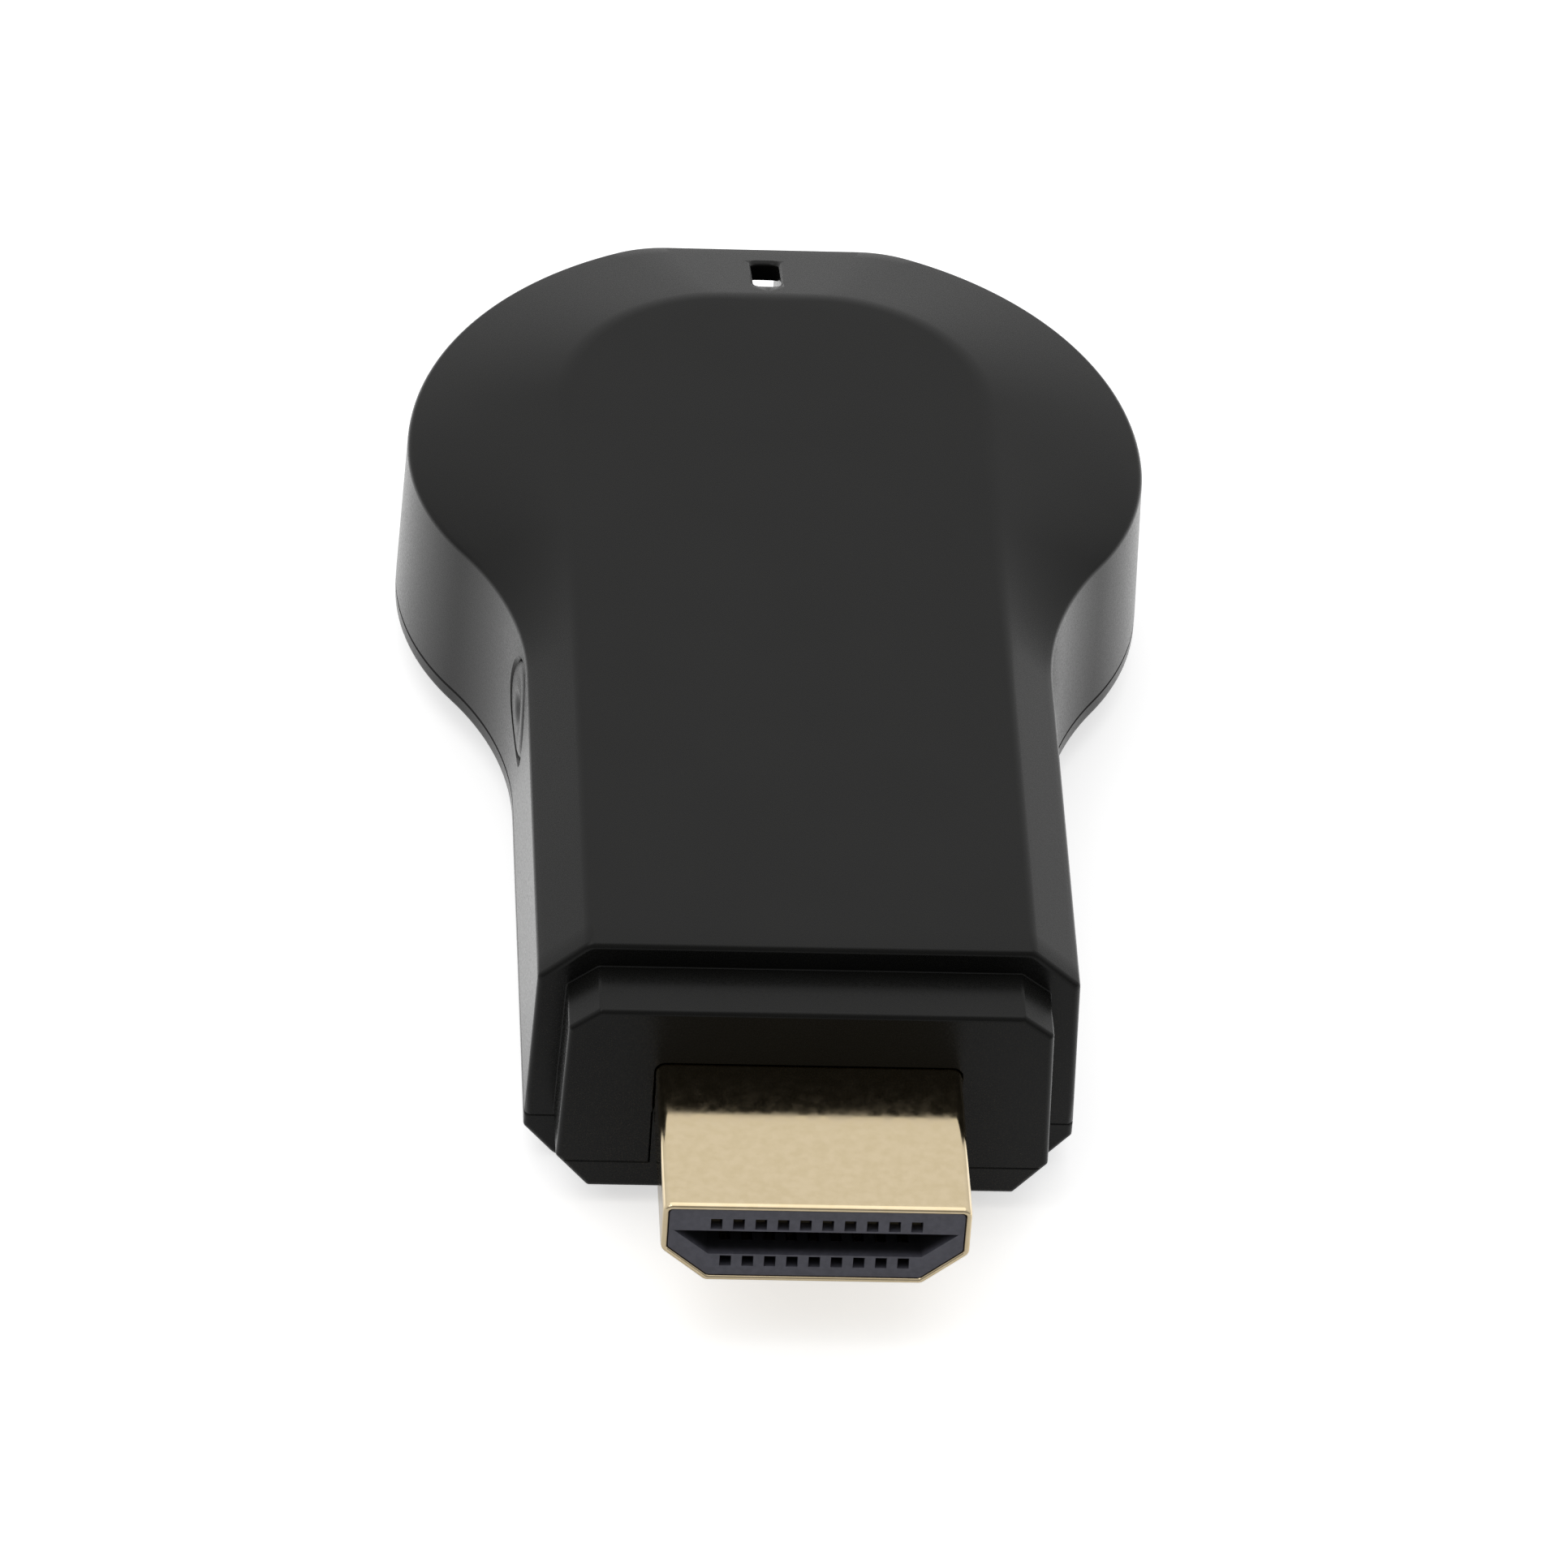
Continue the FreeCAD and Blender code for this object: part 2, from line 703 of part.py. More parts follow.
def hdmi_contact(x, side):
    """A sprung strip: straight at the front, bent towards the slot, then down to the board."""
    front = tip_y + insulator_recess + front_lip / 2
    bend = front + front_lip
    bend_length = tongue_slot_depth - 2 * front_lip
    heel = board_front_y
    low = contact_height
    high = contact_height + contact_thickness
    foot = board_thickness / 2
    upper_edge = [(front, high), (bend, high), (bend + bend_length / 2, high - contact_bend)]
    upper_edge += [(bend + bend_length, high), (heel + contact_thickness, high)]
    upper_edge.append((heel + contact_thickness, foot + contact_thickness))
    upper_edge.append((heel + contact_tail, foot + contact_thickness))
    lower_edge = [(heel + contact_tail, foot), (heel, foot), (heel, low), (bend + bend_length, low)]
    lower_edge += [(bend + bend_length / 2, low - contact_bend), (bend, low), (front, low)]
    x0 = x - contact_width / 2
    points = [Vector(x0, y, plug_axis_height + side * z) for y, z in upper_edge + lower_edge]
    return plate(Part.makePolygon(points + [points[0]]), Vector(contact_width, 0, 0))


# Board and the chips on it

def main_board():
    board = body_prism(board_inset, board_front_y, board_bottom, board_top)
    notch = button_flange_diameter / 2 + board_notch_gap
    y0 = button_y - notch
    y1 = button_y + notch
    board = board.cut(box(-side_x, switch_front_x, y0, y1, board_bottom, board_top))
    for x, y, has_pin in post_places():
        if has_pin:
            board = board.cut(post(x, y, pin_radius + pin_fit, board_bottom, board_top))
    return board


def shield_can(x, y):
    across, along, high = shield_size
    inner_size = (across - 2 * shield_sheet, along - 2 * shield_sheet, high - shield_sheet)
    return chip(shield_size, x, y, board_top).cut(chip(inner_size, x, y, board_top))


def legged_chip(size, x, y, legs, reach):
    """A moulded chip with a row of short legs out of its left and right sides."""
    whole = chip(size, x, y, board_top)
    for offset in steps(legs, size[1] / legs):
        for side in (-1, 1):
            middle = x + side * (size[0] + reach) / 2
            whole = whole.fuse(chip((reach, leg_width, leg_width), middle, y + offset, board_top))
    return whole


def printed_antenna():
    """A zigzag of copper on the board, at the far end on the left."""
    width = (antenna_legs - 1) * antenna_pitch + antenna_trace
    x0 = -eye_width / 2 - eye_wall - antenna_gap_from_eye - width
    y1 = far_y - antenna_before_far_face
    y0 = y1 - antenna_length
    top = board_top + antenna_copper
    legs = []
    links = []
    for i in range(antenna_legs):
        x = x0 + i * antenna_pitch
        legs.append(box(x, x + antenna_trace, y0, y1, board_top, top))
    for i in range(antenna_legs - 1):
        x = x0 + i * antenna_pitch
        x1 = x + antenna_pitch + antenna_trace
        link_y = y0 if i % 2 else y1 - antenna_trace
        links.append(box(x, x1, link_y, link_y + antenna_trace, board_top, top))
    return legs[0].multiFuse(legs[1:] + links).removeSplitter()


# Switch

def mode_button_cap():
    """The cap that shows, with a dimple for the fingertip, and the flange that keeps it in."""
    radius = button_diameter / 2
    flange = button_flange_diameter / 2
    profile = [(button_front_x + button_dimple_depth, 0), (button_front_x, button_dimple_diameter / 2)]
    profile += [(button_front_x, radius - button_edge), (button_front_x + button_edge, radius)]
    profile += [(flange_x, radius), (flange_x, flange), (cap_back_x, flange), (cap_back_x, 0)]
    return turned(profile, button_y, button_z)


def switch_plunger():
    return across_rod(plunger_diameter / 2, cap_back_x, switch_front_x + plunger_reach)


def switch_body():
    middle = (switch_front_x + switch_back_x) / 2
    block = chip((switch_length, switch_width, switch_height), middle, button_y, board_top)
    x0 = switch_front_x + switch_front_wall
    block = block.cut(across_rod(plunger_diameter / 2 + button_fit, switch_front_x, x0))
    half_y = switch_chamber_width / 2
    half_z = switch_chamber_height / 2
    x1 = x0 + switch_chamber_depth
    chamber = box(x0, x1, button_y - half_y, button_y + half_y, button_z - half_z, button_z + half_z)
    return block.cut(chamber)


def switch_dome():
    """A shallow sprung disc against the back of the chamber."""
    back = switch_front_x + switch_front_wall + switch_chamber_depth
    crest = back - dome_height
    under = crest + dome_thickness
    profile = [(back, dome_radius), (crest, dome_radius / 2), (crest, 0)]
    profile += [(under, 0), (under, dome_radius / 2), (back, dome_radius - dome_thickness)]
    return turned(profile, button_y, button_z)


def switch_cover():
    """A sheet metal bridge over the switch, down both its sides."""
    length = switch_length - 2 * switch_sheet
    inside = (length, switch_width + 2 * insulator_fit, switch_height + insulator_fit)
    outside = (length, inside[1] + 2 * switch_sheet, inside[2] + switch_sheet)
    middle = (switch_front_x + switch_back_x) / 2
    return chip(outside, middle, button_y, board_top).cut(chip(inside, middle, button_y, board_top))


def switch_terminals():
    size = (terminal_length, terminal_width, switch_sheet)
    x = switch_back_x + terminal_length / 2
    return [chip(size, x, button_y + offset, board_top) for offset in steps(2, switch_width / 2)]


# Micro-USB inlet

def micro_usb_shell():
    tube = inlet_solid(0, inlet_back_x, inlet_front_x)
    return tube.cut(inlet_solid(-inlet_sheet, inlet_back_x, inlet_front_x))


def micro_usb_insulator():
    block = inlet_solid(-inlet_sheet - insulator_fit, inlet_back_x, inlet_back_x + inlet_back_block)
    half = inlet_tongue_width / 2
    end = inlet_back_x + inlet_back_block + inlet_tongue_length
    top = inlet_z + inlet_tongue_thickness
    tongue = box(inlet_back_x, end, inlet_y - half, inlet_y + half, inlet_z, top)
    whole = block.fuse(tongue)
    for contact in micro_usb_contacts():
        whole = whole.cut(contact)
    return whole


def micro_usb_contacts():
    """Strips under the tongue, which run out of the back and down to the board."""
    end = inlet_back_x + inlet_back_block + inlet_tongue_length - inlet_contact_pitch
    heel = inlet_back_x - inlet_contact_thickness
    low = inlet_z - inlet_contact_thickness
    foot = board_top + inlet_contact_thickness
    profile = [(end, inlet_z), (heel, inlet_z), (heel, foot), (inlet_foot_x, foot)]
    profile += [(inlet_foot_x, board_top), (inlet_back_x, board_top)]
    profile += [(inlet_back_x, low), (end, low)]
    solids = []
    for offset in steps(inlet_contact_count, inlet_contact_pitch):
        y = inlet_y + offset - inlet_contact_width / 2
        points = [Vector(x, y, z) for x, z in profile]
        solids.append(plate(Part.makePolygon(points + [points[0]]), Vector(0, inlet_contact_width, 0)))
    return solids


# Files

def export(name, solids):
    """Writes one node, from a solid or a list of separate solids."""
    shape = Part.makeCompound(solids) if isinstance(solids, list) else solids
    shape.exportStep("parts/" + name + ".step")
    print(name, "solids", len(shape.Solids), "valid", shape.isValid(), "volume", round(shape.Volume, 2))


def export_casing():
    export("top_shell", top_shell())
    export("bottom_shell", bottom_shell())


def export_plug():
    export("hdmi_shell", hdmi_shell())
    export("hdmi_insulator", hdmi_insulator())
    upper, lower = contact_rows()
    export("hdmi_contacts_upper", [hdmi_contact(x, upper[1]) for x in upper[0]])
    export("hdmi_contacts_lower", [hdmi_contact(x, lower[1]) for x in lower[0]])


def export_board():
    """The board, and the processor with its heat path above and its memory below."""
    export("main_board", main_board())
    pad_z = board_top + processor_size[2]
    export("processor", chip(processor_size, 0, processor_y, board_top))
    export("thermal_pad", chip(pad_size, 0, processor_y, pad_z))
    export("heat_spreader", chip(spreader_size, 0, processor_y, pad_z + pad_size[2]))
    export("memory_chip", chip(memory_size, 0, processor_y, board_bottom - memory_size[2]))
    crystal_y = processor_y - system_crystal_before_processor
    export("system_crystal", chip(crystal_size, -side_parts_x, crystal_y, board_top))


def export_radio():
    """The Wi-Fi parts, the flash memory beside them, and the antenna."""
    wifi_y = head_y - wifi_before_head_centre
    export("wifi_shield_can", shield_can(wifi_x, wifi_y))
    export("wifi_chip", chip(wifi_chip_size, wifi_x + wifi_chip_offset, wifi_y, board_top))
    export("wifi_crystal", chip(crystal_size, wifi_x + wifi_crystal_offset, wifi_y, board_top))
    flash_y = head_y - flash_before_head_centre
    export("flash_chip", legged_chip(flash_size, flash_x, flash_y, flash_legs, flash_leg_reach))
    export("printed_antenna", printed_antenna())


def export_power():
    """The power parts behind the inlet on the right, and the large capacitors behind the button."""
    regulator_y = inlet_y + inlet_width / 2 + regulator_after_inlet
    inductor_y = regulator_y + inductor_after_regulator + inductor_size[1] / 2
    inductor_pitch = inductor_size[1] + inductor_gap
    inductors = []
    for i in range(inductor_count):
        inductors.append(chip(inductor_size, side_parts_x, inductor_y + i * inductor_pitch, board_top))
    export("power_inductors", inductors)
    regulator = legged_chip(regulator_size, side_parts_x, regulator_y, regulator_legs, regulator_leg_reach)
    export("voltage_regulator", regulator)
    bulk_y = button_y + switch_width / 2 + bulk_capacitor_size[1]
    bulk_pitch = bulk_capacitor_size[1] + bulk_capacitor_gap
    bulks = []
    for i in range(bulk_capacitor_count):
        bulks.append(chip(bulk_capacitor_size, -side_parts_x, bulk_y + i * bulk_pitch, board_top))
    export("bulk_capacitors", bulks)


def export_small_parts():
    """Rows of small parts: either side of the memory chip, and behind the plug's contacts."""
    reach = memory_size[1] / 2 + ceramic_after_memory
    ceramics = []
    for side in (-1, 1):
        y = processor_y + side * reach
        ceramics += row(ceramic_size, ceramic_count, ceramic_pitch, y, board_bottom - ceramic_size[2])
    export("ceramic_capacitors", ceramics)
    contacts_end = board_front_y + contact_tail
    resistor_y = contacts_end + resistor_after_contacts
    export("chip_resistors", row(resistor_size, resistor_count, resistor_pitch, resistor_y, board_top))
    esd_y = contacts_end + esd_after_contacts
    export("hdmi_esd_arrays", row(esd_size, esd_count, esd_pitch, esd_y, board_top))


def export_button():
    export("mode_button_cap", mode_button_cap())
    export("switch_plunger", switch_plunger())
    export("switch_body", switch_body())
    export("switch_dome", switch_dome())
    export("switch_cover", switch_cover())
    export("switch_terminals", switch_terminals())


def export_inlet():
    export("micro_usb_shell", micro_usb_shell())
    export("micro_usb_insulator", micro_usb_insulator())
    export("micro_usb_contacts", micro_usb_contacts())


export_casing()
export_plug()
export_board()
export_radio()
export_power()
export_small_parts()
export_button()
export_inlet()
print("length", round(total_length, 3), "far face at", round(far_y, 3))
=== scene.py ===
# %% [markdown]
# # A wireless display dongle
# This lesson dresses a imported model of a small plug-in stick: a gold plated plug, a stepped collar, a
# straight neck and a round head, moulded in black plastic in two halves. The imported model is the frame. It
# is exact, but its edges are sharp and its halves have no finish, so what shows is made again here, with
# the roundings that a mould leaves, in the very same place.

# %% The frame
import math

import bmesh
import bpy
from mathutils import Matrix, Vector


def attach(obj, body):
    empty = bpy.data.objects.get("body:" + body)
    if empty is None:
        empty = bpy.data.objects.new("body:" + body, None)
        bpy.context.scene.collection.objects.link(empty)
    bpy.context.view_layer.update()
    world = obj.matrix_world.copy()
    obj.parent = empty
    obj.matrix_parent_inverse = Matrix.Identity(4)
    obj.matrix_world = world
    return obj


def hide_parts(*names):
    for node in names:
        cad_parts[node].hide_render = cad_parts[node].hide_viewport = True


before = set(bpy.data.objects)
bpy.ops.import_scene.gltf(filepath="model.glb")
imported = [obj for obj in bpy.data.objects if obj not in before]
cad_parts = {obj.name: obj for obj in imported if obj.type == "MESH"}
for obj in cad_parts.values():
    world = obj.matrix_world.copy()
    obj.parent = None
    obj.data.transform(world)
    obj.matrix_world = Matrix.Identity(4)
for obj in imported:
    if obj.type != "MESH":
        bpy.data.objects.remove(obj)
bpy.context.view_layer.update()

# %% [markdown]
# ## Sizes
# All sizes are in millimetres, as on the maker's drawing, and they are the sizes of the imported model. X is
# across the stick, Y runs from the plug's tip to the head, and Z is up. The places that follow from other
# sizes are worked out and not typed in again.

# %% Sizes of the casing
NECK_HALF = 12.35
HEAD_RADIUS = 17.6
HEAD_FRONT_RADIUS = 14.0
BLEND_RADIUS = 16.0
FAR_FLAT_HALF = 5.85
FAR_CORNER_RADIUS = 6.0
HEIGHT = 12.7
PARTING = 2.5
TOP_RIM = 10.7
BOTTOM_RIM = 1.75
WALL = 1.3
WALL_DRAFT = 0.25
BOTTOM_SPREAD = 1.0
CROWN_HALF = 10.1
CROWN_FAR_MARGIN = 6.5
CROWN_CORNER = 8.0
PLUG_LENGTH = 9.7
COLLAR_DEPTH = 3.15
HEAD_FROM_FRONT = 39.1

far_from_head = math.sqrt(HEAD_RADIUS ** 2 - FAR_FLAT_HALF ** 2)
tip_y = -(PLUG_LENGTH + COLLAR_DEPTH + HEAD_FROM_FRONT + far_from_head + WALL_DRAFT) / 2
collar_y = tip_y + PLUG_LENGTH
front_y = collar_y + COLLAR_DEPTH
inside_y = front_y + WALL
head_y = front_y + HEAD_FROM_FRONT
far_y = head_y + far_from_head
head_front_x = HEAD_RADIUS - HEAD_FRONT_RADIUS
blend_x = NECK_HALF + BLEND_RADIUS
blend_turn = math.acos((blend_x - head_front_x) / (HEAD_FRONT_RADIUS + BLEND_RADIUS))
blend_y = head_y - math.sin(blend_turn) * (HEAD_FRONT_RADIUS + BLEND_RADIUS)
crown_far = far_y - CROWN_FAR_MARGIN
print("tip", round(tip_y, 3), "front", round(front_y, 3), "head", round(head_y, 3), "far", round(far_y, 3))

# %% [markdown]
# ## Making meshes from numbers
# A few small helpers do most of the work. One turns points and faces into an object. One joins rings of
# points into a skin, like the hoops of a barrel, with or without lids. One runs a Boolean and keeps the
# result as a plain mesh.

# %% Mesh helpers
MM = 0.001
SAME_POINT = 1e-7


def added(name, data):
    """A new object with this data, in the scene."""
    item = bpy.data.objects.new(name, data)
    bpy.context.scene.collection.objects.link(item)
    return item


def new_piece(name, points, faces):
    """An object at the origin from points in millimetres, with its faces turned outwards."""
    mesh = bpy.data.meshes.new(name)
    mesh.from_pydata([Vector(p) * MM for p in points], [], faces)
    tidy = bmesh.new()
    tidy.from_mesh(mesh)
    bmesh.ops.remove_doubles(tidy, verts=tidy.verts, dist=SAME_POINT)
    bmesh.ops.recalc_face_normals(tidy, faces=tidy.faces)
    tidy.to_mesh(mesh)
    tidy.free()
    return added(name, mesh)


def skin_rings(rings, joined_ends=False):
    """Points and faces of a skin over rings of equal length, with lids unless its ends are joined."""
    count = len(rings[0])
    points = [p for ring in rings for p in ring]
    faces = []
    last = len(rings) if joined_ends else len(rings) - 1
    for i in range(last):
        a = i * count
        b = ((i + 1) % len(rings)) * count
        for j in range(count):
            k = (j + 1) % count
            faces.append((a + j, a + k, b + k, b + j))
    if not joined_ends:
        faces.append(tuple(range(count)))
        faces.append(tuple(range(last * count, (last + 1) * count)))
    return points, faces


def work_in_modifiers(piece):
    """Turns the piece's mesh into what its modifiers make of it, and drops them."""
    graph = bpy.context.evaluated_depsgraph_get()
    mesh = bpy.data.meshes.new_from_object(piece.evaluated_get(graph), depsgraph=graph)
    piece.modifiers.clear()
    piece.data = mesh
    return piece


def combine(piece, other, operation):
    """Joins the other solid to the piece, or cuts it out, and then drops the other."""
    boolean = piece.modifiers.new("boolean", "BOOLEAN")
    boolean.operation = operation
    boolean.solver = "EXACT"
    boolean.object = other
    work_in_modifiers(piece)
    bpy.data.objects.remove(other)
    return piece


# %% [markdown]
# ## Outlines with round corners
# The plug, the collar and the power socket are flat outlines drawn out along a line. A moulded or pressed
# outline never has a sharp corner, so the functions here offset an outline, round its corners and stack such
# outlines. A row of small offsets at the end of the stack makes a rounded rim.

# %% Outline helpers
CORNER_STEPS = 5
SMALLEST_CORNER = 0.05
RIM_STEPS = 4


def mirrored(side):
    """A whole outline from the points of its right side."""
    return side + [(-x, y) for x, y in reversed(side)]


def way_out(along, place, middle):
    """The way square to a side that leads away from the outline's middle."""
    out = Vector((along.y, -along.x))
    return -out if out.dot(place - middle) < 0 else out


def grown(corners, amount):
    """The corners of a convex outline, with every side moved out by the amount."""
    moved = []
    count = len(corners)
    middle = sum((Vector(c) for c in corners), Vector((0, 0))) / count
    for i in range(count):
        here = Vector(corners[i])
        before = (here - Vector(corners[i - 1])).normalized()
        after = (Vector(corners[(i + 1) % count]) - here).normalized()
        out_before = way_out(before, here, middle)
        out_after = way_out(after, here, middle)
        moved.append(here + (out_before + out_after) * (amount / (1 + out_before.dot(out_after))))
    return moved


def rounded(corners, radius):
    """Points round an outline, with each corner replaced by an arc."""
    points = []
    count = len(corners)
    for i in range(count):
        here = Vector(corners[i])
        to_last = (Vector(corners[i - 1]) - here).normalized()
        to_next = (Vector(corners[(i + 1) % count]) - here).normalized()
        half = math.acos(max(-1.0, min(1.0, to_last.dot(to_next)))) / 2
        middle = here + (to_last + to_next).normalized() * (radius / math.sin(half))
        start = here + to_last * (radius / math.tan(half)) - middle
        end = here + to_next * (radius / math.tan(half)) - middle
        for step in range(CORNER_STEPS + 1):
            points.append(middle + start.slerp(end, step / CORNER_STEPS) * radius)
    return points


def drawn_out(name, corners, radius, rows, place, joined_ends=False):
    """A solid from rows of (distance along, growth), each a rounded outline set in space by place."""
    rings = []
    for along, growth in rows:
        outline = rounded(grown(corners, growth), max(radius + growth, SMALLEST_CORNER))
        rings.append([place(p.x, p.y, along) for p in outline])
    return new_piece(name, *skin_rings(rings, joined_ends=joined_ends))


def round_rows(start, size):
    """Rows that turn from a face into a side over a rounding of the given size."""
    rows = []
    for step in range(RIM_STEPS + 1):
        angle = math.radians(90) * (1 - step / RIM_STEPS)
        rows.append((start + size * (1 - math.sin(angle)), -size * (1 - math.cos(angle))))
    return rows


# %% [markdown]
# ## The casing's outline
# Seen from above, each half has the same outline: two straight sides, a curve out to the head, a tighter
# curve on the head's near half, a circle on its far half, and a flat far face. Stations follow the right
# side of it. Each station knows its point on the rim, the way out from there, the point on the flat strip
# that it slopes up to, and a point on the centre line where its row of points ends. The left side is the
# mirror image.

# %% Stations along the casing
NECK_STEP = 1.2
ARC_STEP = math.radians(2.0)
FEWEST_ARC_STEPS = 4
FAR_SHARES = (0.75, 0.5, 0.25, 0.0)
SPINE_MARGIN = 2.0


def arc_points(x, y, radius, start, end, outward):
    """Points on an arc with the way out at each, where outward is -1 on a hollow curve."""
    steps = max(FEWEST_ARC_STEPS, round(abs(end - start) / ARC_STEP))
    made = []
    for step in range(1, steps + 1):
        angle = start + (end - start) * step / steps
        way = Vector((math.cos(angle), math.sin(angle)))
        made.append((Vector((x, y)) + way * radius, way * outward))
    return made


def rim_points(front):
    """The right side of the rim, from the front round to the middle of the far face."""
    steps = round((blend_y - front) / NECK_STEP)
    straight = [Vector((NECK_HALF, front + (blend_y - front) * i / steps)) for i in range(steps + 1)]
    made = [(p, Vector((1, 0))) for p in straight]
    made += arc_points(blend_x, blend_y, BLEND_RADIUS, math.pi, math.pi - blend_turn, -1)
    made += arc_points(head_front_x, head_y, HEAD_FRONT_RADIUS, -blend_turn, 0.0, 1)
    corner_y = far_from_head - FAR_CORNER_RADIUS
    corner_x = math.sqrt((HEAD_RADIUS - FAR_CORNER_RADIUS) ** 2 - corner_y ** 2)
    corner_turn = math.atan2(corner_y, corner_x)
    made += arc_points(0, head_y, HEAD_RADIUS, 0.0, corner_turn, 1)
    made += arc_points(corner_x, head_y + corner_y, FAR_CORNER_RADIUS, corner_turn, math.pi / 2, 1)
    for share in FAR_SHARES:
        made.append((Vector((corner_x * share, far_y)), Vector((0, 1))))
    return made


def crown_point(travel, spread):
    """The point on the flat strip's edge this far along, from abreast the head's centre."""
    corner = CROWN_CORNER + spread
    middle = Vector((CROWN_HALF - CROWN_CORNER, crown_far - CROWN_CORNER))
    if travel < middle.y - head_y:
        return Vector((CROWN_HALF + spread, head_y + travel))
    angle = (travel - middle.y + head_y) / corner
    if angle < math.pi / 2:
        return middle + Vector((math.cos(angle), math.sin(angle))) * corner
    return Vector((middle.x - (travel - middle.y + head_y - corner * math.pi / 2), crown_far + spread))


def stations(front, spread):
    """For each rim point: the rim, the way out, the edge of the flat strip, and the centre line."""
    rim = rim_points(front)
    travels = [0.0]
    for (a, _), (b, _) in zip(rim, rim[1:]):
        travels.append(travels[-1] + (b - a).length if b.y > head_y else 0.0)
    whole = travels[-1]
    corner_run = (CROWN_CORNER + spread) * math.pi / 2
    crown_whole = crown_far - CROWN_CORNER - head_y + corner_run + CROWN_HALF - CROWN_CORNER
    made = []
    for (point, out), travel in zip(rim, travels):
        share = travel / whole
        if travel == 0:
            made.append((point, out, Vector((CROWN_HALF + spread, point.y)), Vector((0, point.y))))
        else:
            spine = Vector((0, head_y + (crown_far - SPINE_MARGIN - head_y) * share))
            made.append((point, out, crown_point(share * crown_whole, spread), spine))
    return made


print("stations on each side", len(stations(front_y, 0.0)))

# %% [markdown]
# ## One half of the casing
# At each station a row of points climbs the side wall, rounds the rim, follows the slope, and rounds over
# onto the flat strip. Laid side by side, the rows make the outside. Made once more, smaller by the
# thickness of the wall, they make the hollow that is cut out of it. The edge of the flat strip is crisp
# along the neck and softer round the head, as the light on the real one shows.

# %% Rows of points up one half
LEAST_CLIMB = 0.02
MOST_PULL = 0.9
CREST_NECK = 0.22
CREST_HEAD = 0.45
SOFTENS_BEFORE_BLEND = 3.0
SOFTENS_OVER = 14.0
WALL_ROWS = 6
RIM_ROWS = 5
SLOPE_ROWS = 8
CREST_ROWS = 6
STRIP_ROWS = 5


def half_row(station, inset, base, rim, top, rounding, start, leans):
    """Points of one row, from the parting plane to the centre line, as Vectors."""
    rim_point, out, crown, spine = station
    seam_out, rim_out = leans
    point = rim_point + out * rim_out
    sign = 1 if top > base else -1
    across = (crown - point).length
    climb = abs(top - rim)
    lean = math.atan2(across, climb)
    rim_up = max(abs(rim - base) - inset * math.tan(lean / 2), LEAST_CLIMB)
    top_up = abs(top - base) - inset
    foot = point - out * inset
    crest = crown + (spine - crown).normalized() * inset * math.tan((math.pi / 2 - lean) / 2)
    along = (crest - foot).normalized()
    run = (crest - foot).length
    pull = min(rounding * math.tan(lean / 2), rim_up * MOST_PULL)
    radius = pull / math.tan(lean / 2)
    flat = list(start)
    for i in range(1, WALL_ROWS + 1):
        height = start[-1][1] + (rim_up - pull - start[-1][1]) * i / WALL_ROWS
        flat.append((0.0, height))
    for i in range(1, RIM_ROWS + 1):
        angle = lean * i / RIM_ROWS
        flat.append((radius * (1 - math.cos(angle)), rim_up - pull + radius * math.sin(angle)))
    grade = (top_up - rim_up) / run
    softness = min(1.0, max(0.0, (point.y - blend_y + SOFTENS_BEFORE_BLEND) / SOFTENS_OVER))
    crest_half = CREST_NECK + (CREST_HEAD - CREST_NECK) * softness
    slope_start = flat[-1][0]
    slope_end = run - crest_half
    for i in range(1, SLOPE_ROWS + 1):
        h = slope_start + (slope_end - slope_start) * i / SLOPE_ROWS
        flat.append((h, rim_up + grade * h))
    row = []
    for h, up in flat:
        spot = foot + along * h + out * (seam_out - rim_out) * max(0.0, 1 - max(up, 0.0) / rim_up)
        row.append(Vector((spot.x, spot.y, base + sign * up)))
    first = row[-1].copy()
    peak = Vector((crest.x, crest.y, base + sign * top_up))
    inward = (spine - crest).normalized() * crest_half
    last = peak + Vector((inward.x, inward.y, 0))
    for i in range(1, CREST_ROWS + 1):
        t = i / CREST_ROWS
        row.append(first * (1 - t) ** 2 + peak * 2 * t * (1 - t) + last * t ** 2)
    for i in range(1, STRIP_ROWS + 1):
        row.append(last.lerp(Vector((spine.x, spine.y, last.z)), i / STRIP_ROWS))
    return row


# %% Closing the rows into a solid
FRONT_ROUNDING = 0.3
FRONT_STEPS = 4
RIM_ROUNDING = 0.35
BOTTOM_ROUNDING = 0.2
HOLLOW_ROUNDING = 0.1
SEAM_BEVEL = 0.08


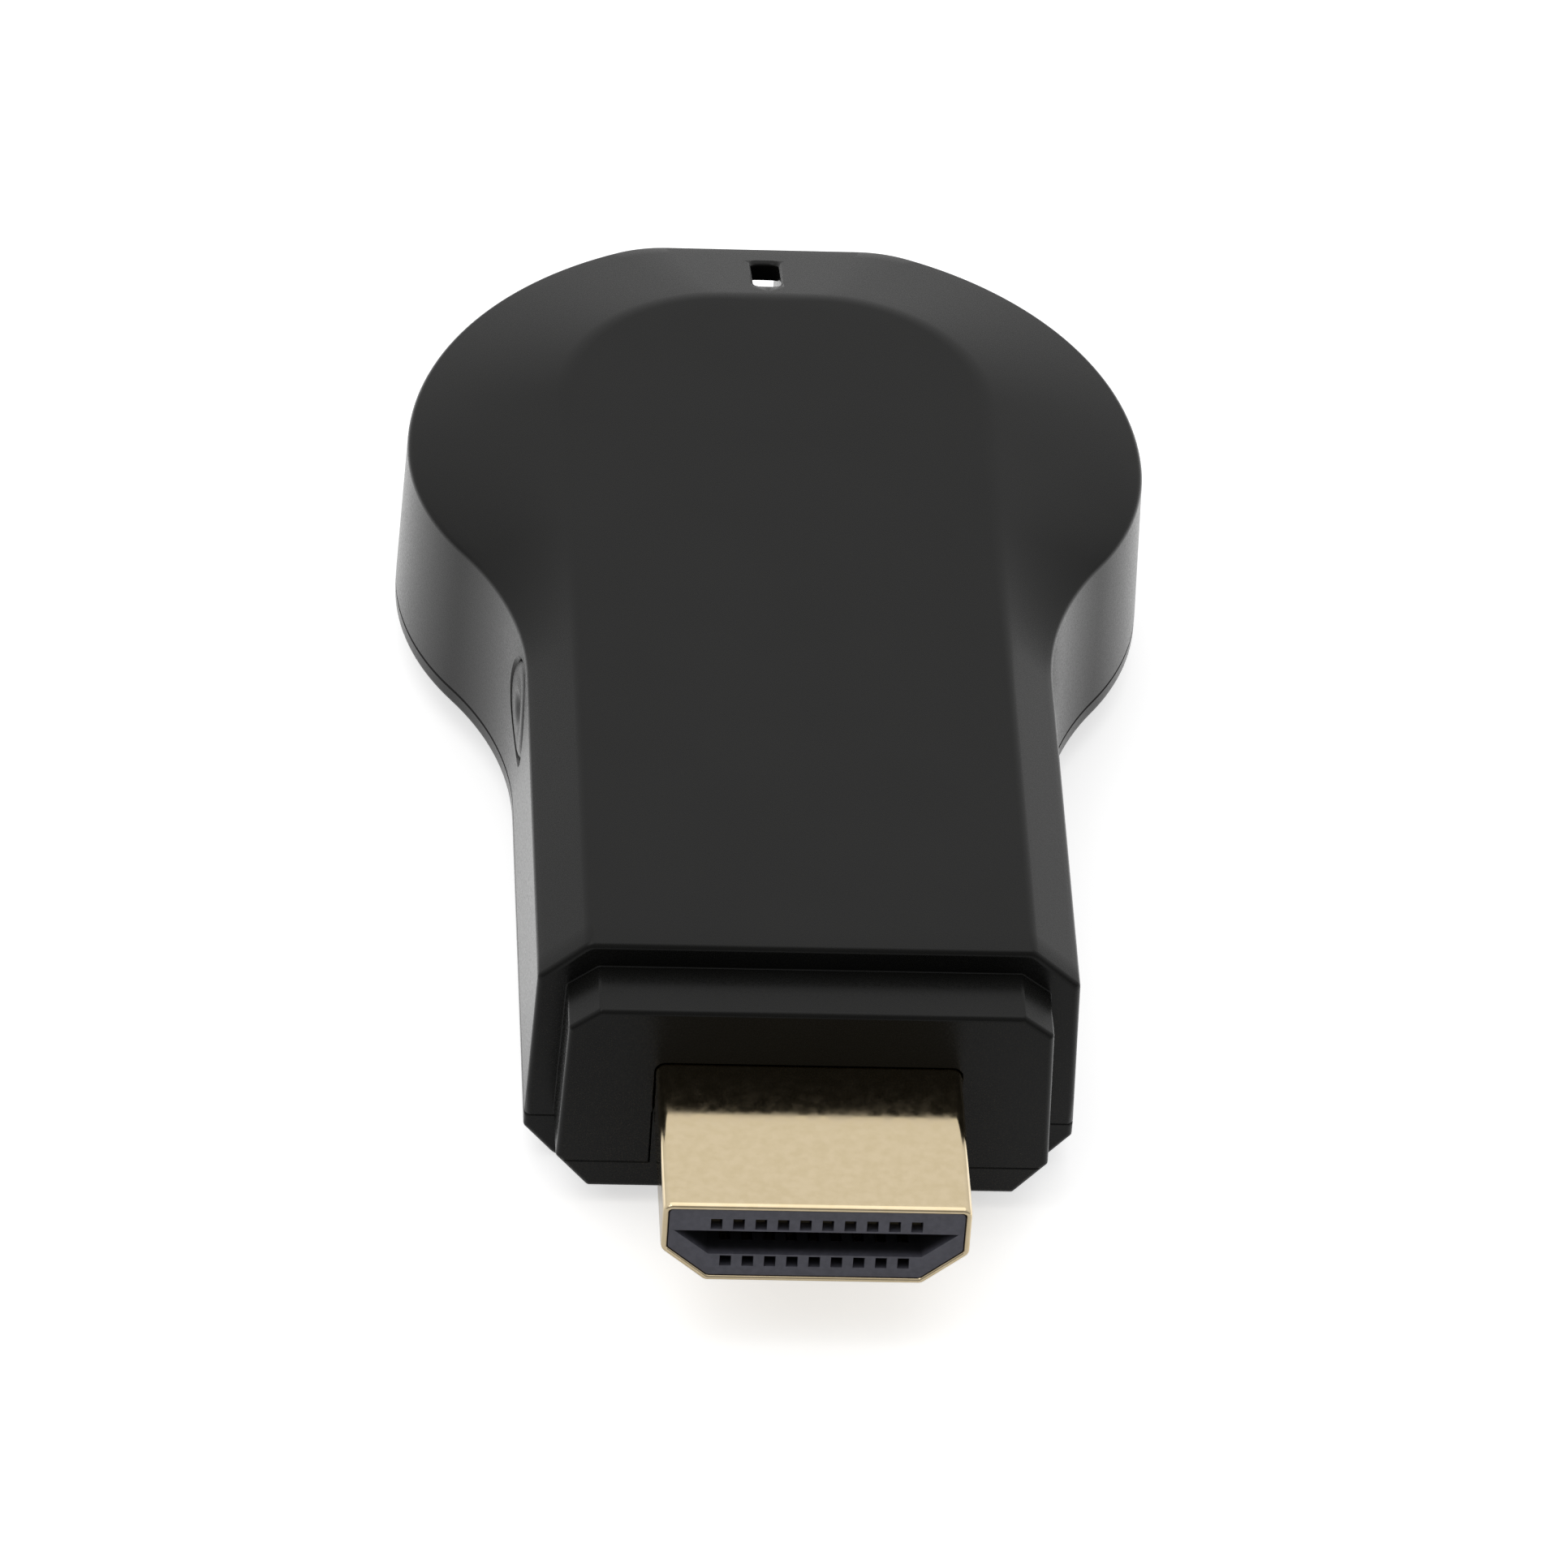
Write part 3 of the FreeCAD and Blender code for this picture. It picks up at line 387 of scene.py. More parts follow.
def half_solid(name, inset, front, rim, top, rounding, start, front_rounding, leans, spread):
    """A closed solid: the rows of the right side, the same mirrored, a front and a flat base."""
    rows = []
    places = stations(front + front_rounding, spread)
    if front_rounding:
        point, out, crown, spine = places[0]
        for step in range(FRONT_STEPS):
            angle = math.radians(90) * (1 - step / FRONT_STEPS)
            shift = front + front_rounding * (1 - math.sin(angle))
            extra = front_rounding * (1 - math.cos(angle))
            moved = (Vector((point.x, shift)), out, Vector((crown.x, shift)), Vector((0, shift)))
            rows.append(half_row(moved, inset + extra, PARTING, rim, top, rounding, start, leans))
    rows += [half_row(place, inset, PARTING, rim, top, rounding, start, leans) for place in places]
    count = len(rows[0])
    left = [[Vector((-p.x, p.y, p.z)) for p in row] for row in rows]
    points = [p for row in rows for p in row] + [p for row in left for p in row]
    offset = len(rows) * count
    faces = []
    for side in (0, offset):
        for i in range(len(rows) - 1):
            for j in range(count - 1):
                a = side + i * count + j
                faces.append((a, a + 1, a + count + 1, a + count))
    front_cap = list(range(count)) + [offset + j for j in reversed(range(count))]
    base_cap = [i * count for i in range(len(rows))]
    base_cap += [offset + i * count for i in reversed(range(len(rows)))]
    faces.append(tuple(front_cap))
    faces.append(tuple(base_cap))
    return new_piece(name, points, faces)


def casing_half(name, rim, top, rounding, leans, spread):
    """The outside of one half with its hollow cut out."""
    seam = [(SEAM_BEVEL, 0.0), (0.0, SEAM_BEVEL)]
    outside = half_solid(name, 0.0, front_y, rim, top, rounding, seam, FRONT_ROUNDING, leans, spread)
    inner_start = [(0.0, -1.0), (0.0, 0.0)]
    edges = (HOLLOW_ROUNDING, inner_start, 0.0, (0.0, 0.0), spread)
    hollow = half_solid("hollow", WALL, inside_y, rim, top, *edges)
    return combine(outside, hollow, "DIFFERENCE")


top_shell = casing_half("casing_top", TOP_RIM, HEIGHT, RIM_ROUNDING, (WALL_DRAFT, 0.0), 0.0)
both_leans = (WALL_DRAFT, WALL_DRAFT)
bottom_shell = casing_half("casing_bottom", BOTTOM_RIM, 0.0, BOTTOM_ROUNDING, both_leans, BOTTOM_SPREAD)
print("upper half faces", len(top_shell.data.polygons), "lower half faces", len(bottom_shell.data.polygons))

# %% [markdown]
# ## The collar
# The plug leaves the casing through a collar that steps out of the front wall. It has cut corners, lightly
# rounded edges, and a hollow curve at its root where the mould was eased. It belongs to both halves: the
# upper half holds most of it, and the lower half comes up under the plug as a narrow upstand.

# %% Collar and plug openings
COLLAR_HALF = 11.0
COLLAR_TOP = 11.45
COLLAR_BOTTOM = 0.95
COLLAR_ROUNDING = 0.28
COLLAR_CORNER = 0.25
COLLAR_ROOT = 0.06
ROOT_STEPS = 8
COLLAR_TAIL = 0.5
PLUG_HALF = 6.95
PLUG_Z = 6.15
PLUG_CORNER = 0.45
PLUG_FIT = 0.05
PLUG_MOUTH = 0.03
UPSTAND_FIT = 0.05

collar_right = [(9.75, COLLAR_BOTTOM), (COLLAR_HALF + WALL_DRAFT, 2.7)]
collar_right += [(COLLAR_HALF, 10.35), (9.6, COLLAR_TOP)]
collar_corners = mirrored(collar_right)
plug_corners = mirrored([(PLUG_HALF, 2.225), (PLUG_HALF, -0.425), (4.9, -2.225)])
upstand_half = PLUG_HALF + PLUG_FIT


def facing_plug(x, z, y):
    return Vector((x, y, z))


def on_plug_axis(x, z, y):
    return Vector((x, y, z + PLUG_Z))


def collar():
    """The whole collar, running a little way into the front wall."""
    rows = round_rows(collar_y, COLLAR_ROUNDING)
    for step in range(ROOT_STEPS + 1):
        angle = math.radians(90) * step / ROOT_STEPS
        growth = COLLAR_ROOT * (1 - math.cos(angle))
        rows.append((front_y - COLLAR_ROOT * (1 - math.sin(angle)), growth))
    rows.append((front_y + COLLAR_TAIL, COLLAR_ROOT))
    return drawn_out("collar", collar_corners, COLLAR_CORNER, rows, facing_plug)


def block(name, x0, x1, y0, y1, z0, z1):
    """A plain cutting block."""
    rings = [[(x0, y, z0), (x1, y, z0), (x1, y, z1), (x0, y, z1)] for y in (y0, y1)]
    return new_piece(name, *skin_rings(rings))


def plug_hole():
    """The hole for the plug's shell, with its mouth cut wider at 45 degrees."""
    rows = [(collar_y - 0.5, PLUG_FIT + PLUG_MOUTH + 0.5), (collar_y + PLUG_MOUTH, PLUG_FIT)]
    rows.append((inside_y + 1.0, PLUG_FIT))
    return drawn_out("plug_hole", plug_corners, PLUG_CORNER, rows, on_plug_axis)


GROOVE = 0.05


def groove(start, end):
    """A square bar on edge from start to end, along X, Y or Z, which cuts a V along a seam."""
    line = (Vector(end) - Vector(start)).normalized()
    side = Vector((0, 1, 0)) if start[0] != end[0] else Vector((1, 0, 0))
    other = line.cross(side)
    diamond = ((GROOVE, 0), (0, GROOVE), (-GROOVE, 0), (0, -GROOVE))
    rings = []
    for spot in (start, end):
        rings.append([Vector(spot) + side * a + other * b for a, b in diamond])
    return new_piece("groove", *skin_rings(rings))


def seam_grooves():
    """Bars along the seam on the collar and on the front of the casing."""
    side = COLLAR_HALF + 0.08
    bars = []
    for way in (-1, 1):
        outer, inner = way * side, way * upstand_half
        bars.append(((way * (side + 2), front_y, PARTING), (way * (side - 0.2), front_y, PARTING)))
        bars.append(((outer, front_y, PARTING), (outer, collar_y, PARTING)))
        bars.append(((outer, collar_y, PARTING), (inner, collar_y, PARTING)))
        bars.append(((inner, collar_y, PARTING), (inner, collar_y, PLUG_Z - 0.6)))
    return bars


# %% Collar joined to both halves
OUTSIDE = 30
ahead = collar_y - 5
room_far = inside_y + 0.5

combine(top_shell, collar(), "UNION")
combine(top_shell, block("below", -OUTSIDE, OUTSIDE, ahead, inside_y, -5, PARTING), "DIFFERENCE")
upstand_room = block("room", -upstand_half, upstand_half, ahead, room_far, PARTING - 1, PLUG_Z)
combine(top_shell, upstand_room, "DIFFERENCE")
combine(top_shell, plug_hole(), "DIFFERENCE")

lower_collar = collar()
combine(lower_collar, block("above", -OUTSIDE, OUTSIDE, ahead, inside_y, PARTING, OUTSIDE), "DIFFERENCE")
combine(bottom_shell, lower_collar, "UNION")
half = upstand_half - UPSTAND_FIT
upstand = block("upstand", -half, half, collar_y, inside_y, COLLAR_BOTTOM + 0.6, PLUG_Z)
combine(bottom_shell, upstand, "UNION")
combine(bottom_shell, plug_hole(), "DIFFERENCE")
for start, end in seam_grooves():
    combine(top_shell, groove(start, end), "DIFFERENCE")
    combine(bottom_shell, groove(start, end), "DIFFERENCE")
print("with collar:", len(top_shell.data.polygons), len(bottom_shell.data.polygons))

# %% [markdown]
# ## Openings in the upper half
# The lanyard eye is a slot with round corners that passes under a bar and out of the far face. The mode
# button has a round hole with a soft lip. The power socket has a plain opening, a little larger than
# its metal shell. Each is cut by a solid of the same shape, flared where it meets the surface, because a
# moulded opening has no knife edge.

# %% Lanyard eye
EYE_HALF = 0.69
EYE_LENGTH = 3.05
EYE_BAR = 1.9
EYE_FLOOR = 7.9
EYE_LIP = 0.12
EYE_FAR_LIP = 0.25
EYE_NEAR_LIP = 0.4
EYE_LIP_STEPS = 7
EYE_CORNER = 0.45
EYE_WALL_HALF = 1.75

eye_far = far_y - EYE_BAR
eye_near = eye_far - EYE_LENGTH
eye_middle = (eye_near + eye_far) / 2
slope_grade = (HEIGHT - TOP_RIM) / CROWN_FAR_MARGIN


def on_far_slope(x, y, up):
    """A point above or below the sloping band at the far end."""
    level = HEIGHT - slope_grade * (y + eye_middle - crown_far)
    return Vector((x, y + eye_middle, level + up))


def eye_slot():
    """The slot, from its floor to its soft lip, which is widest at the ends, and to a mouth in the air."""
    rings = []
    for step in range(-1, EYE_LIP_STEPS + 2):
        depth = EYE_NEAR_LIP * (1 - max(step, 0) / EYE_LIP_STEPS)
        rise = EYE_NEAR_LIP - depth
        near = EYE_LENGTH / 2 + EYE_NEAR_LIP - math.sqrt(max(0.0, EYE_NEAR_LIP ** 2 - rise ** 2))
        side = EYE_HALF + EYE_LIP * max(0.0, 1 - depth / EYE_LIP)
        far = EYE_LENGTH / 2 + EYE_FAR_LIP * max(0.0, 1 - depth / EYE_FAR_LIP) ** 2
        if step > EYE_LIP_STEPS:
            side, near, far, depth = side + 0.5, near + 0.6, far + 0.5, -0.5
        outline = rounded([(side, far), (-side, far), (-side, -near), (side, -near)], EYE_CORNER)
        if step < 0:
            rings.append([Vector((p.x, p.y + eye_middle, EYE_FLOOR)) for p in outline])
        else:
            rings.append([on_far_slope(p.x, p.y, -depth) for p in outline])
    return new_piece("eye_slot", *skin_rings(rings))


def eye_passage():
    """The way out under the bar, from the slot to the far face."""
    inner_top = HEIGHT - slope_grade * (eye_far - crown_far) - 1.1
    outer_top = TOP_RIM - 1.7
    fall = (inner_top - outer_top) / EYE_BAR
    near = eye_far - 1.0
    end = far_y + 1.0
    profile = [(near, EYE_FLOOR), (end, EYE_FLOOR), (end, outer_top - fall), (near, inner_top + fall)]
    rings = [[Vector((x, y, z)) for y, z in profile] for x in (-EYE_HALF, EYE_HALF)]
    return new_piece("eye_passage", *skin_rings(rings))


eye_ends = (eye_near - 1, far_y - 0.3, EYE_FLOOR - 1, TOP_RIM - 0.4)
combine(top_shell, block("eye_walls", -EYE_WALL_HALF, EYE_WALL_HALF, *eye_ends), "UNION")
combine(top_shell, eye_slot(), "DIFFERENCE")
combine(top_shell, eye_passage(), "DIFFERENCE")

# %% Button hole and power socket opening
BUTTON_Y = front_y + 23.15
BUTTON_Z = 7.65
INLET_Y = front_y + 15.0
INLET_Z = 7.9
TURN_STEPS = 64
FOLLOWED_DEPTH = 0.4


def wall_outside_neck(y, z):
    """How far the left wall stands outside the neck's half width here, from its curve and its draft."""
    reach = max(0.0, y - blend_y)
    curve = BLEND_RADIUS - math.sqrt(BLEND_RADIUS ** 2 - reach ** 2)
    return curve + WALL_DRAFT * (TOP_RIM - z) / (TOP_RIM - PARTING)


def turned_across(name, profile, follow, aside=0.0):
    """A solid turned about the button's line from (x, radius) points; its outer end follows the wall."""
    rings = []
    for x, radius in profile:
        ring = []
        for step in range(TURN_STEPS):
            angle = 2 * math.pi * step / TURN_STEPS
            y = BUTTON_Y - aside + radius * math.cos(angle)
            z = BUTTON_Z - aside / 2 + radius * math.sin(angle)
            shift = follow * wall_outside_neck(y, z) if x < -NECK_HALF + FOLLOWED_DEPTH else 0.0
            ring.append(Vector((x - shift, y, z)))
        rings.append(ring)
    return new_piece(name, *skin_rings(rings))


def button_opening():
    """The hole, with a rounded lip; it sits a little nearer and lower than the cap."""
    wall_x = -NECK_HALF
    profile = [(wall_x - 1.2, 2.9), (wall_x - 0.06, 2.67), (wall_x, 2.61), (wall_x + 0.05, 2.56)]
    profile += [(wall_x + 0.11, 2.51), (wall_x + 0.2, 2.46), (wall_x + WALL + 1.5, 2.46)]
    return turned_across("opening", profile, 1.0, aside=0.1)


INLET_CORNER = 0.4
INLET_FIT = 0.15
inlet_corners = mirrored([(3.75, 1.25), (3.75, -0.1), (2.85, -1.25)])


def facing_right(y, z, x):
    return Vector((x, y + INLET_Y, z + INLET_Z))


def inlet_hole():
    """The opening for the socket's shell, wider at the outside of the wall."""
    rows = [(NECK_HALF + 0.5, INLET_FIT + 0.75), (NECK_HALF - 0.25, INLET_FIT)]
    rows.append((NECK_HALF - WALL - 0.8, INLET_FIT))
    return drawn_out("inlet_hole", inlet_corners, INLET_CORNER, rows, facing_right)


combine(top_shell, button_opening(), "DIFFERENCE")
combine(top_shell, inlet_hole(), "DIFFERENCE")
print("upper half with its openings:", len(top_shell.data.polygons), "faces")

# %% [markdown]
# ## Plug and socket shells
# Both shells are sheet metal, folded to a flat-bottomed outline with slanted lower corners. A ring of
# outlines goes out along the outer face, over the rounded lip and back along the inner face.

# %% Plug shell
PLUG_SHEET = 0.3
FLANGE = 0.8
FLANGE_THICKNESS = 0.4
TIP_ROWS = ((0.8, 0.0), (0.5, -0.003), (0.26, -0.012), (0.13, -0.028), (0.05, -0.06), (0.01, -0.1))
TIP_ROWS += ((0.0, -0.15), (0.0, -0.2), (0.03, -0.25), (0.12, -PLUG_SHEET), (0.5, -PLUG_SHEET))


def plug_shell():
    """The shell, from its back over the flange to the tip, and a little way back inside."""
    back = inside_y + 0.45
    flange = back - FLANGE_THICKNESS
    rows = [(back, -PLUG_SHEET), (back, FLANGE), (flange, FLANGE), (flange, 0.0), (collar_y, 0.0)]
    rows += [(tip_y + behind, growth) for behind, growth in TIP_ROWS]
    return drawn_out("plug_shell", plug_corners, PLUG_CORNER, rows, on_plug_axis, joined_ends=True)


plug = plug_shell()

# %% Power socket shell
INLET_SHEET = 0.25
INLET_FRONT = NECK_HALF - 0.75
INLET_BACK = INLET_FRONT - 5.0


def socket_shell():
    """The shell, from its back along the outside to its front, and a little way back inside."""
    front = INLET_FRONT
    rows = [(INLET_BACK, -INLET_SHEET), (INLET_BACK, 0.0), (front - 0.3, 0.0), (front - 0.08, 0.0)]
    rows += [(front - 0.02, -0.04), (front, -0.1), (front, -0.15), (front - 0.06, -0.22)]
    rows.append((front - 0.25, -INLET_SHEET))
    return drawn_out("power_socket_shell", inlet_corners, INLET_CORNER, rows, facing_right, joined_ends=True)


socket = socket_shell()
print("plug shell faces", len(plug.data.polygons), "socket shell faces", len(socket.data.polygons))

# %% [markdown]
# ## Mode button
# The cap is a turned disc that stands out of the wall a little, with a rounded edge and a dimple for the
# fingertip. A flange behind the wall keeps it from falling out.

# %% Button cap
CAP_RADIUS = 2.3
CAP_FLANGE = 2.9
CAP_STANDS_OUT = 0.1
CAP_FOLLOWS = 0.97
MIDDLE_RADIUS = 0.02
CAP_DIMPLE = ((0.31, MIDDLE_RADIUS), (0.295, 0.2), (0.245, 0.4), (0.165, 0.6), (0.075, 0.8), (0.018, 0.98))
CAP_RING = ((0.0, 1.15), (0.0, 1.6), (0.01, 1.8), (0.04, 1.98), (0.1, 2.14), (0.19, 2.26), (0.32, CAP_RADIUS))


def button_cap():
    """The cap, from the dimple's middle by (distance behind the front, radius) to its edge and its flange."""
    front = -NECK_HALF - CAP_STANDS_OUT
    flange = -NECK_HALF + WALL + 0.8 + 0.1
    back = flange + 0.55
    profile = [(front + behind, radius) for behind, radius in CAP_DIMPLE + CAP_RING]
    profile += [(flange, CAP_RADIUS), (flange, CAP_FLANGE), (back, CAP_FLANGE), (back, MIDDLE_RADIUS)]
    return turned_across("button_cap", profile, CAP_FOLLOWS)


cap = button_cap()
print("cap faces", len(cap.data.polygons))

# %% [markdown]
# ## Mouldings in the plug and the socket
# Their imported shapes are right, but every edge is sharp. A copy of each is merged into one skin, and a
# narrow bevel rounds its edges.

# %% Mouldings with rounded edges
MOULDING_BEVEL = 0.04


def softened_copy(node, name):
    """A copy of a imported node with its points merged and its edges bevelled."""
    piece = added(name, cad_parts[node].data.copy())
    tidy = bmesh.new()
    tidy.from_mesh(piece.data)
    bmesh.ops.remove_doubles(tidy, verts=tidy.verts, dist=SAME_POINT)
    bmesh.ops.dissolve_limit(tidy, angle_limit=math.radians(1), verts=tidy.verts, edges=tidy.edges)
    tidy.to_mesh(piece.data)
    tidy.free()
    bevel = piece.modifiers.new("bevel", "BEVEL")
    bevel.width = MOULDING_BEVEL * MM
    bevel.segments = 2
    bevel.limit_method = "ANGLE"
    bevel.angle_limit = math.radians(40)
    return work_in_modifiers(piece)


plug_moulding = softened_copy("hdmi_insulator", "plug_moulding")
socket_moulding = softened_copy("micro_usb_insulator", "power_socket_moulding")

# %% [markdown]
# ## Rows of contacts
# Contacts repeat at an even pitch, so one is made and a small node tree copies it along a line. The tree
# has inputs for the count, the pitch and the contact. It ends by turning the copies into real faces.

# %% A tree that repeats a piece along a line
ROW_INPUTS = {"Geometry": "Geometry", "Piece": "Object", "Count": "Int", "Pitch": "Vector"}
ROW_INPUTS["Material"] = "Material"


def row_tree():
    tree = bpy.data.node_groups.new("row of equal pieces", "GeometryNodeTree")
    for name, kind in ROW_INPUTS.items():
        tree.interface.new_socket(name, in_out="INPUT", socket_type="NodeSocket" + kind)
    tree.interface.new_socket("Geometry", in_out="OUTPUT", socket_type="NodeSocketGeometry")
    return tree


def add_node(tree, kind, settings=None, values=None, links=None):
    """Adds a node, with its settings, its input values, and links from other nodes' outputs."""
    node = tree.nodes.new(kind)
    for key, value in (settings or {}).items():
        setattr(node, key, value)
    for key, value in (values or {}).items():
        node.inputs[key].default_value = value
    for key, output in (links or {}).items():
        tree.links.new(output, node.inputs[key])
    return node


def fill_row_tree(tree):
    given = add_node(tree, "NodeGroupInput").outputs
    fewer = add_node(tree, "ShaderNodeMath", {"operation": "SUBTRACT"}, {1: 1.0}, {0: given["Count"]})
    half = add_node(tree, "ShaderNodeMath", {"operation": "MULTIPLY"}, {1: -0.5}, {0: fewer.outputs[0]})
    scale = {"Vector": given["Pitch"], "Scale": half.outputs[0]}
    start = add_node(tree, "ShaderNodeVectorMath", {"operation": "SCALE"}, links=scale)
    line_links = {"Count": given["Count"], "Start Location": start.outputs[0], "Offset": given["Pitch"]}
    line = add_node(tree, "GeometryNodeMeshLine", links=line_links)
    piece = add_node(tree, "GeometryNodeObjectInfo", links={"Object": given["Piece"]})
    copies_links = {"Points": line.outputs[0], "Instance": piece.outputs["Geometry"]}
    copies = add_node(tree, "GeometryNodeInstanceOnPoints", links=copies_links)
    real = add_node(tree, "GeometryNodeRealizeInstances", links={0: copies.outputs[0]})
    finish_links = {"Geometry": real.outputs[0], "Material": given["Material"]}
    finish = add_node(tree, "GeometryNodeSetMaterial", links=finish_links)
    add_node(tree, "NodeGroupOutput", links={"Geometry": finish.outputs[0]})
    return tree


row_of_pieces = fill_row_tree(row_tree())
tree_items = row_of_pieces.interface.items_tree
print("inputs of the tree:", [item.name for item in tree_items if item.in_out == "INPUT"])

# %% [markdown]
# ## Materials
# Colours are written as sRGB hex values, as a colour card gives them, and one function turns them to the
# linear values that the renderer wants. A second function starts a material with its shader.

# %% Colour and material helpers
DARK_SPOTS = 0.35
LIGHT_SPOTS = 0.65


def linear(code):
    """A hex colour as linear red, green, blue and alpha."""
    parts = [int(code[i:i + 2], 16) / 255 for i in (1, 3, 5)]
    turned = [c / 12.92 if c <= 0.04045 else ((c + 0.055) / 1.055) ** 2.4 for c in parts]
    return (*turned, 1.0)


def new_material(name, code, **values):
    """A material with its shader, base colour and constant values set."""
    material = bpy.data.materials.new(name)
    material.use_nodes = True
    shader = material.node_tree.nodes["Principled BSDF"]
    shader.inputs["Base Color"].default_value = linear(code)
    for key, value in values.items():
        shader.inputs[key.replace("_", " ").title().replace("Ior", "IOR")].default_value = value
    return material, material.node_tree, shader


def speckle(tree, scale_mm, detail=2.0):
    """Noise in the object's own space, whose spots are about this many millimetres across."""
    place = add_node(tree, "ShaderNodeTexCoord")
    values = {"Scale": 1.0 / (scale_mm * MM), "Detail": detail}
    return add_node(tree, "ShaderNodeTexNoise", values=values, links={"Vector": place.outputs["Object"]})


def span(tree, output, from_low, from_high, to_low, to_high, settings=None):
    """A value that runs between the last two numbers as the output runs between the first two."""
    values = {"From Min": from_low, "From Max": from_high, "To Min": to_low, "To Max": to_high}
    return add_node(tree, "ShaderNodeMapRange", settings, values, {"Value": output})


def between(tree, source, low, high):
    """A value that runs from low to high as the source runs from dark to light."""
    return span(tree, source.outputs[0], DARK_SPOTS, LIGHT_SPOTS, low, high)


def shades(tree, source, first, second):
    """A colour that runs between two hex colours with the source."""
    ramp = add_node(tree, "ShaderNodeValToRGB", links={"Fac": source.outputs[0]})
    for element, position, code in zip(ramp.color_ramp.elements, (DARK_SPOTS, LIGHT_SPOTS), (first, second)):
        element.position = position
        element.color = linear(code)
    return ramp


def feed(tree, source, shader, key):
    """Joins the source to one of the shader's inputs."""
    tree.links.new(source.outputs[0], shader.inputs[key])


def relief(tree, shader, source, depth_mm):
    """Raises the surface by the source, by this many millimetres at most."""
    values = {"Distance": depth_mm * MM, "Strength": 1.0}
    bump = add_node(tree, "ShaderNodeBump", values=values, links={"Height": source.outputs[0]})
    feed(tree, bump, shader, "Normal")


# %% [markdown]
# ### Black ABS, moulded in a spark-eroded tool
# ABS with carbon black is nearly black right through. The tool's fine texture prints a grain on it, which
# spreads its reflections into a soft sheen. The real grain is about 0.05 mm, too fine to show here, so it is
# drawn at 0.12 mm.

# %% Black ABS
def black_abs():
    material, tree, shader = new_material("black moulded ABS", "#131312", ior=1.27)
    grain = speckle(tree, 0.12, 3.0)
    clouds = speckle(tree, 6.0)
    colour = shades(tree, clouds, "#121211", "#141413")
    feed(tree, colour, shader, "Base Color")
    rough = between(tree, grain, 0.23, 0.31)
    feed(tree, rough, shader, "Roughness")
    relief(tree, shader, grain, 0.001)
    return material


abs_black = black_abs()

# %% [markdown]
# ### Gold plated steel
# The plug's shell is steel with a thin bright plating. It is smooth, so it mirrors the collar behind it and
# the pale ground below, and the plating is a little cloudy, so the mirror is not perfect.

# %% Gold plating
def gold_plating():
    material, tree, shader = new_material("gold plated steel", "#dac8a4", metallic=1.0)
    clouds = speckle(tree, 0.5, 3.0)
    colour = shades(tree, clouds, "#d6c4a0", "#dccaa8")
    feed(tree, colour, shader, "Base Color")
    rough = between(tree, clouds, 0.08, 0.14)
    feed(tree, rough, shader, "Roughness")
    relief(tree, shader, clouds, 0.0005)
    return material


plating = gold_plating()

# %% [markdown]
# ### Other plastics and metals
# The mouldings are glass-filled nylon, grey and dull; the plug's carries painted shade down its slot, where
# its colour is darkened because little light gets in. The socket is tinned steel, faintly clouded. The parts
# inside get the finish that each has on a real board.

# %% Grained finishes
def grained(name, first, second, spot_mm, roughness, depth_mm=0.0, **values):
    """A material whose colour and roughness vary a little, with spots of a real size."""
    material, tree, shader = new_material(name, first, **values)
    spots = speckle(tree, spot_mm, 3.0)
    feed(tree, shades(tree, spots, first, second), shader, "Base Color")
    rough = between(tree, spots, roughness * 0.85, roughness * 1.15)
    feed(tree, rough, shader, "Roughness")
    if depth_mm:
        relief(tree, shader, spots, depth_mm)
    return material


def plug_nylon_with_painted_shade():
    """The plug's nylon with painted shade: its colour is darkened from 0.1 to 0.5 mm behind its front, where
    a deep narrow slot gets little light.
    """
    material, tree, shader = new_material("grey glass-filled nylon with painted slot shade", "#4b4b54", roughness=0.55)
    spots = speckle(tree, 0.3, 3.0)
    colour = shades(tree, spots, "#4b4b54", "#54545e")
    # Painted shade: from 0.1 to 0.5 mm behind the front the colour is scaled down to a fifth, as a deep slot
    # gets little light.
    place = add_node(tree, "ShaderNodeTexCoord")
    split = add_node(tree, "ShaderNodeSeparateXYZ", links={0: place.outputs["Object"]})
    front = min(vertex.co.y for vertex in plug_moulding.data.vertices)
    dimmed = span(tree, split.outputs["Y"], front + 0.1 * MM, front + 0.5 * MM, 1.0, 0.2)
    links = {0: colour.outputs[0], "Scale": dimmed.outputs[0]}
    shaded = add_node(tree, "ShaderNodeVectorMath", {"operation": "SCALE"}, links=links)
    feed(tree, shaded, shader, "Base Color")
    relief(tree, shader, spots, 0.002)
    return material


nylon_with_painted_slot_shade = plug_nylon_with_painted_shade()
grey_nylon = grained("grey glass-filled nylon", "#4b4b54", "#54545e", 0.3, 0.55, 0.002)
tinned_steel = grained("tinned sheet steel", "#b4b4b2", "#c4c4c2", 0.8, 0.3, 0.001, metallic=1.0)
solder_mask = grained("green solder mask over glass laminate", "#0f3d24", "#14492c", 0.5, 0.35, 0.003)
epoxy = grained("black moulded epoxy", "#18181a", "#222224", 0.15, 0.6, 0.002)
rolled_aluminium = grained("rolled aluminium", "#c2c4c6", "#cfd1d2", 0.6, 0.35, 0.001, metallic=1.0)
silicone = grained("soft silicone pad", "#7c93ac", "#879db4", 0.4, 0.7, 0.004)
ferrite = grained("pressed ferrite", "#37373a", "#424246", 0.2, 0.75, 0.004)
tantalum_case = grained("yellow moulded epoxy", "#c08f2c", "#cc9b38", 0.3, 0.5, 0.002)
fired_ceramic = grained("fired tan ceramic", "#9c8463", "#ab9472", 0.1, 0.5, 0.001)
coated_ceramic = grained("black coated ceramic", "#141416", "#1e1e20", 0.1, 0.45, 0.001)
